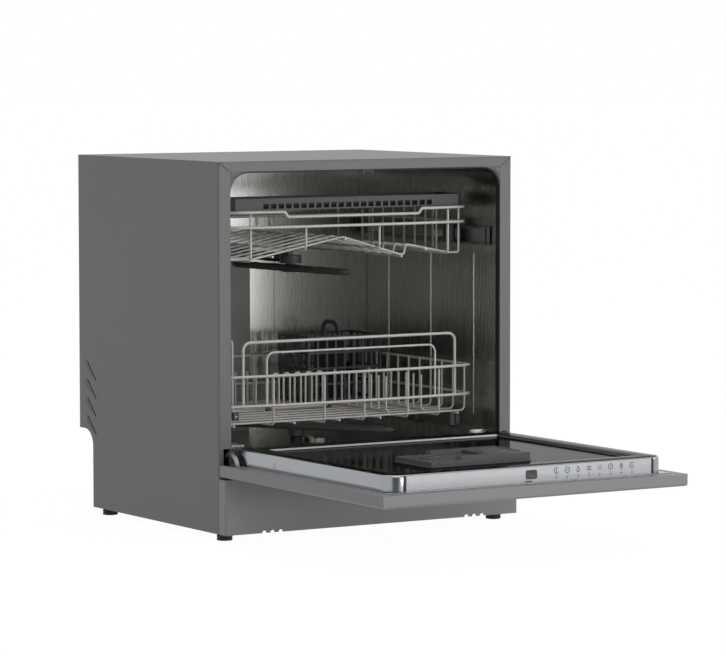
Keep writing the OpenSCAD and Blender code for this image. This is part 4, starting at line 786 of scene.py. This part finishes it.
# %% Rack wheels
wheel_profile = [(3.4, -6.5), (8.0, -6.5), (8.6, -5.6), (11.0, -5.6), (11.9, -4.8), (11.9, 1.6), (11.0, 2.5),
                 (9.4, 2.5), (8.8, 0.4), (5.4, 0.4), (4.9, 6.0), (4.2, 6.5), (0.1, 6.5)]
wheel_z = 147.5 + 0.5 + 12
for side, s in (("left", -1), ("right", 1)):
    for place, y in (("front", home + 45), ("middle", home + 153), ("rear", home + lower_depth - 3)):
        node = f"wheel_{side}_{place}"
        piece(node + "_turned", [turned(wheel_profile, (s * 223, y, wheel_z), side)], "body_" + node, grey_plastic,
              [node])

# %% Brackets, clips, basket and shelf keep their sizes and gain soft edges
for node in ("wheel_brackets", "rack_clips", "cutlery_basket"):
    softened(node, "lower_rack", grey_plastic, 0.5)
softened("cutlery_shelf", "upper_rack", grey_plastic, 0.6)

# %% [markdown]
# ## Spray arms
# A spray arm is two mouldings welded together, with a crowned back that stiffens it. Its section is a
# flattened arch that narrows towards the tip, so the arm is a loft: one section, scaled along the arm.

# %% Spray arms
def blade(reach, width, thick, middle, turn):
    """Half a spray arm: a superellipse section, |u|^2.6 + |v|^2.6 = 1, whose width falls along the arm and
    closes in a round tip."""
    t = np.linspace(0, 1, 26)
    a = np.linspace(0, 2 * pi, 28, endpoint=False)
    swell = width / 2 * (1 - 0.42 * t) * np.sqrt(np.clip(1 - t ** 14, 0.0004, 1))
    high = thick / 2 * np.sqrt(np.clip(1 - t ** 20, 0.0004, 1))
    u = np.sign(np.cos(a)) * abs(np.cos(a)) ** (2 / 2.6)
    v = np.sign(np.sin(a)) * abs(np.sin(a)) ** (2 / 2.6)
    x, y, z = swell[:, None] * u, np.broadcast_to((t * reach)[:, None], (26, 28)), high[:, None] * v
    c, s = cos(radians(turn)), sin(radians(turn))
    return grid(np.stack([c * x - s * y, s * x + c * y, z], axis=-1) + np.array(middle, dtype=float), True, True)

def jets(reach, middle, turn, high):
    """Small raised slots along both halves of an arm."""
    out = []
    for side in (0, 180):
        for i, share in enumerate((0.3, 0.47, 0.64, 0.81)):
            c, s = cos(radians(turn + side)), sin(radians(turn + side))
            x, y = (-4 if i % 2 else 4), share * reach
            place = (middle[0] + c * x - s * y, middle[1] + s * x + c * y, middle[2])
            out.append(slab(7, 3, 1.4, high - 0.4, high + 0.7, 0.4, place))
    return out

tub_middle = (29 + 420) / 2
upper_hub = [(0.1, -6.2), (13, -6.2), (15.5, -5), (15.5, 3.5), (14, 5.4), (7.6, 5.4)]
lower_hub = [(7.6, -15.4), (12.8, -15.4), (13, -6), (16, -5), (16, 3), (14, 5.4), (0.1, 6)]
for which, at, reach, turn, hub in (("upper", (0, tub_middle + 18.5, 409), 158, 7, upper_hub),
                                    ("lower", (0, tub_middle, 149), 176, 35, lower_hub)):
    arm = [blade(reach, 34, 11, at, turn), blade(reach, 34, 11, at, turn + 180), turned(hub, at)]
    piece(f"{which}_arm_moulding", arm + jets(reach, at, turn, 5.2), f"{which}_arm", grey_plastic,
          [f"{which}_spray_arm"])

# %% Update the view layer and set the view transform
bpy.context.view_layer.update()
view = bpy.context.scene.view_settings
view.view_transform = "Standard"
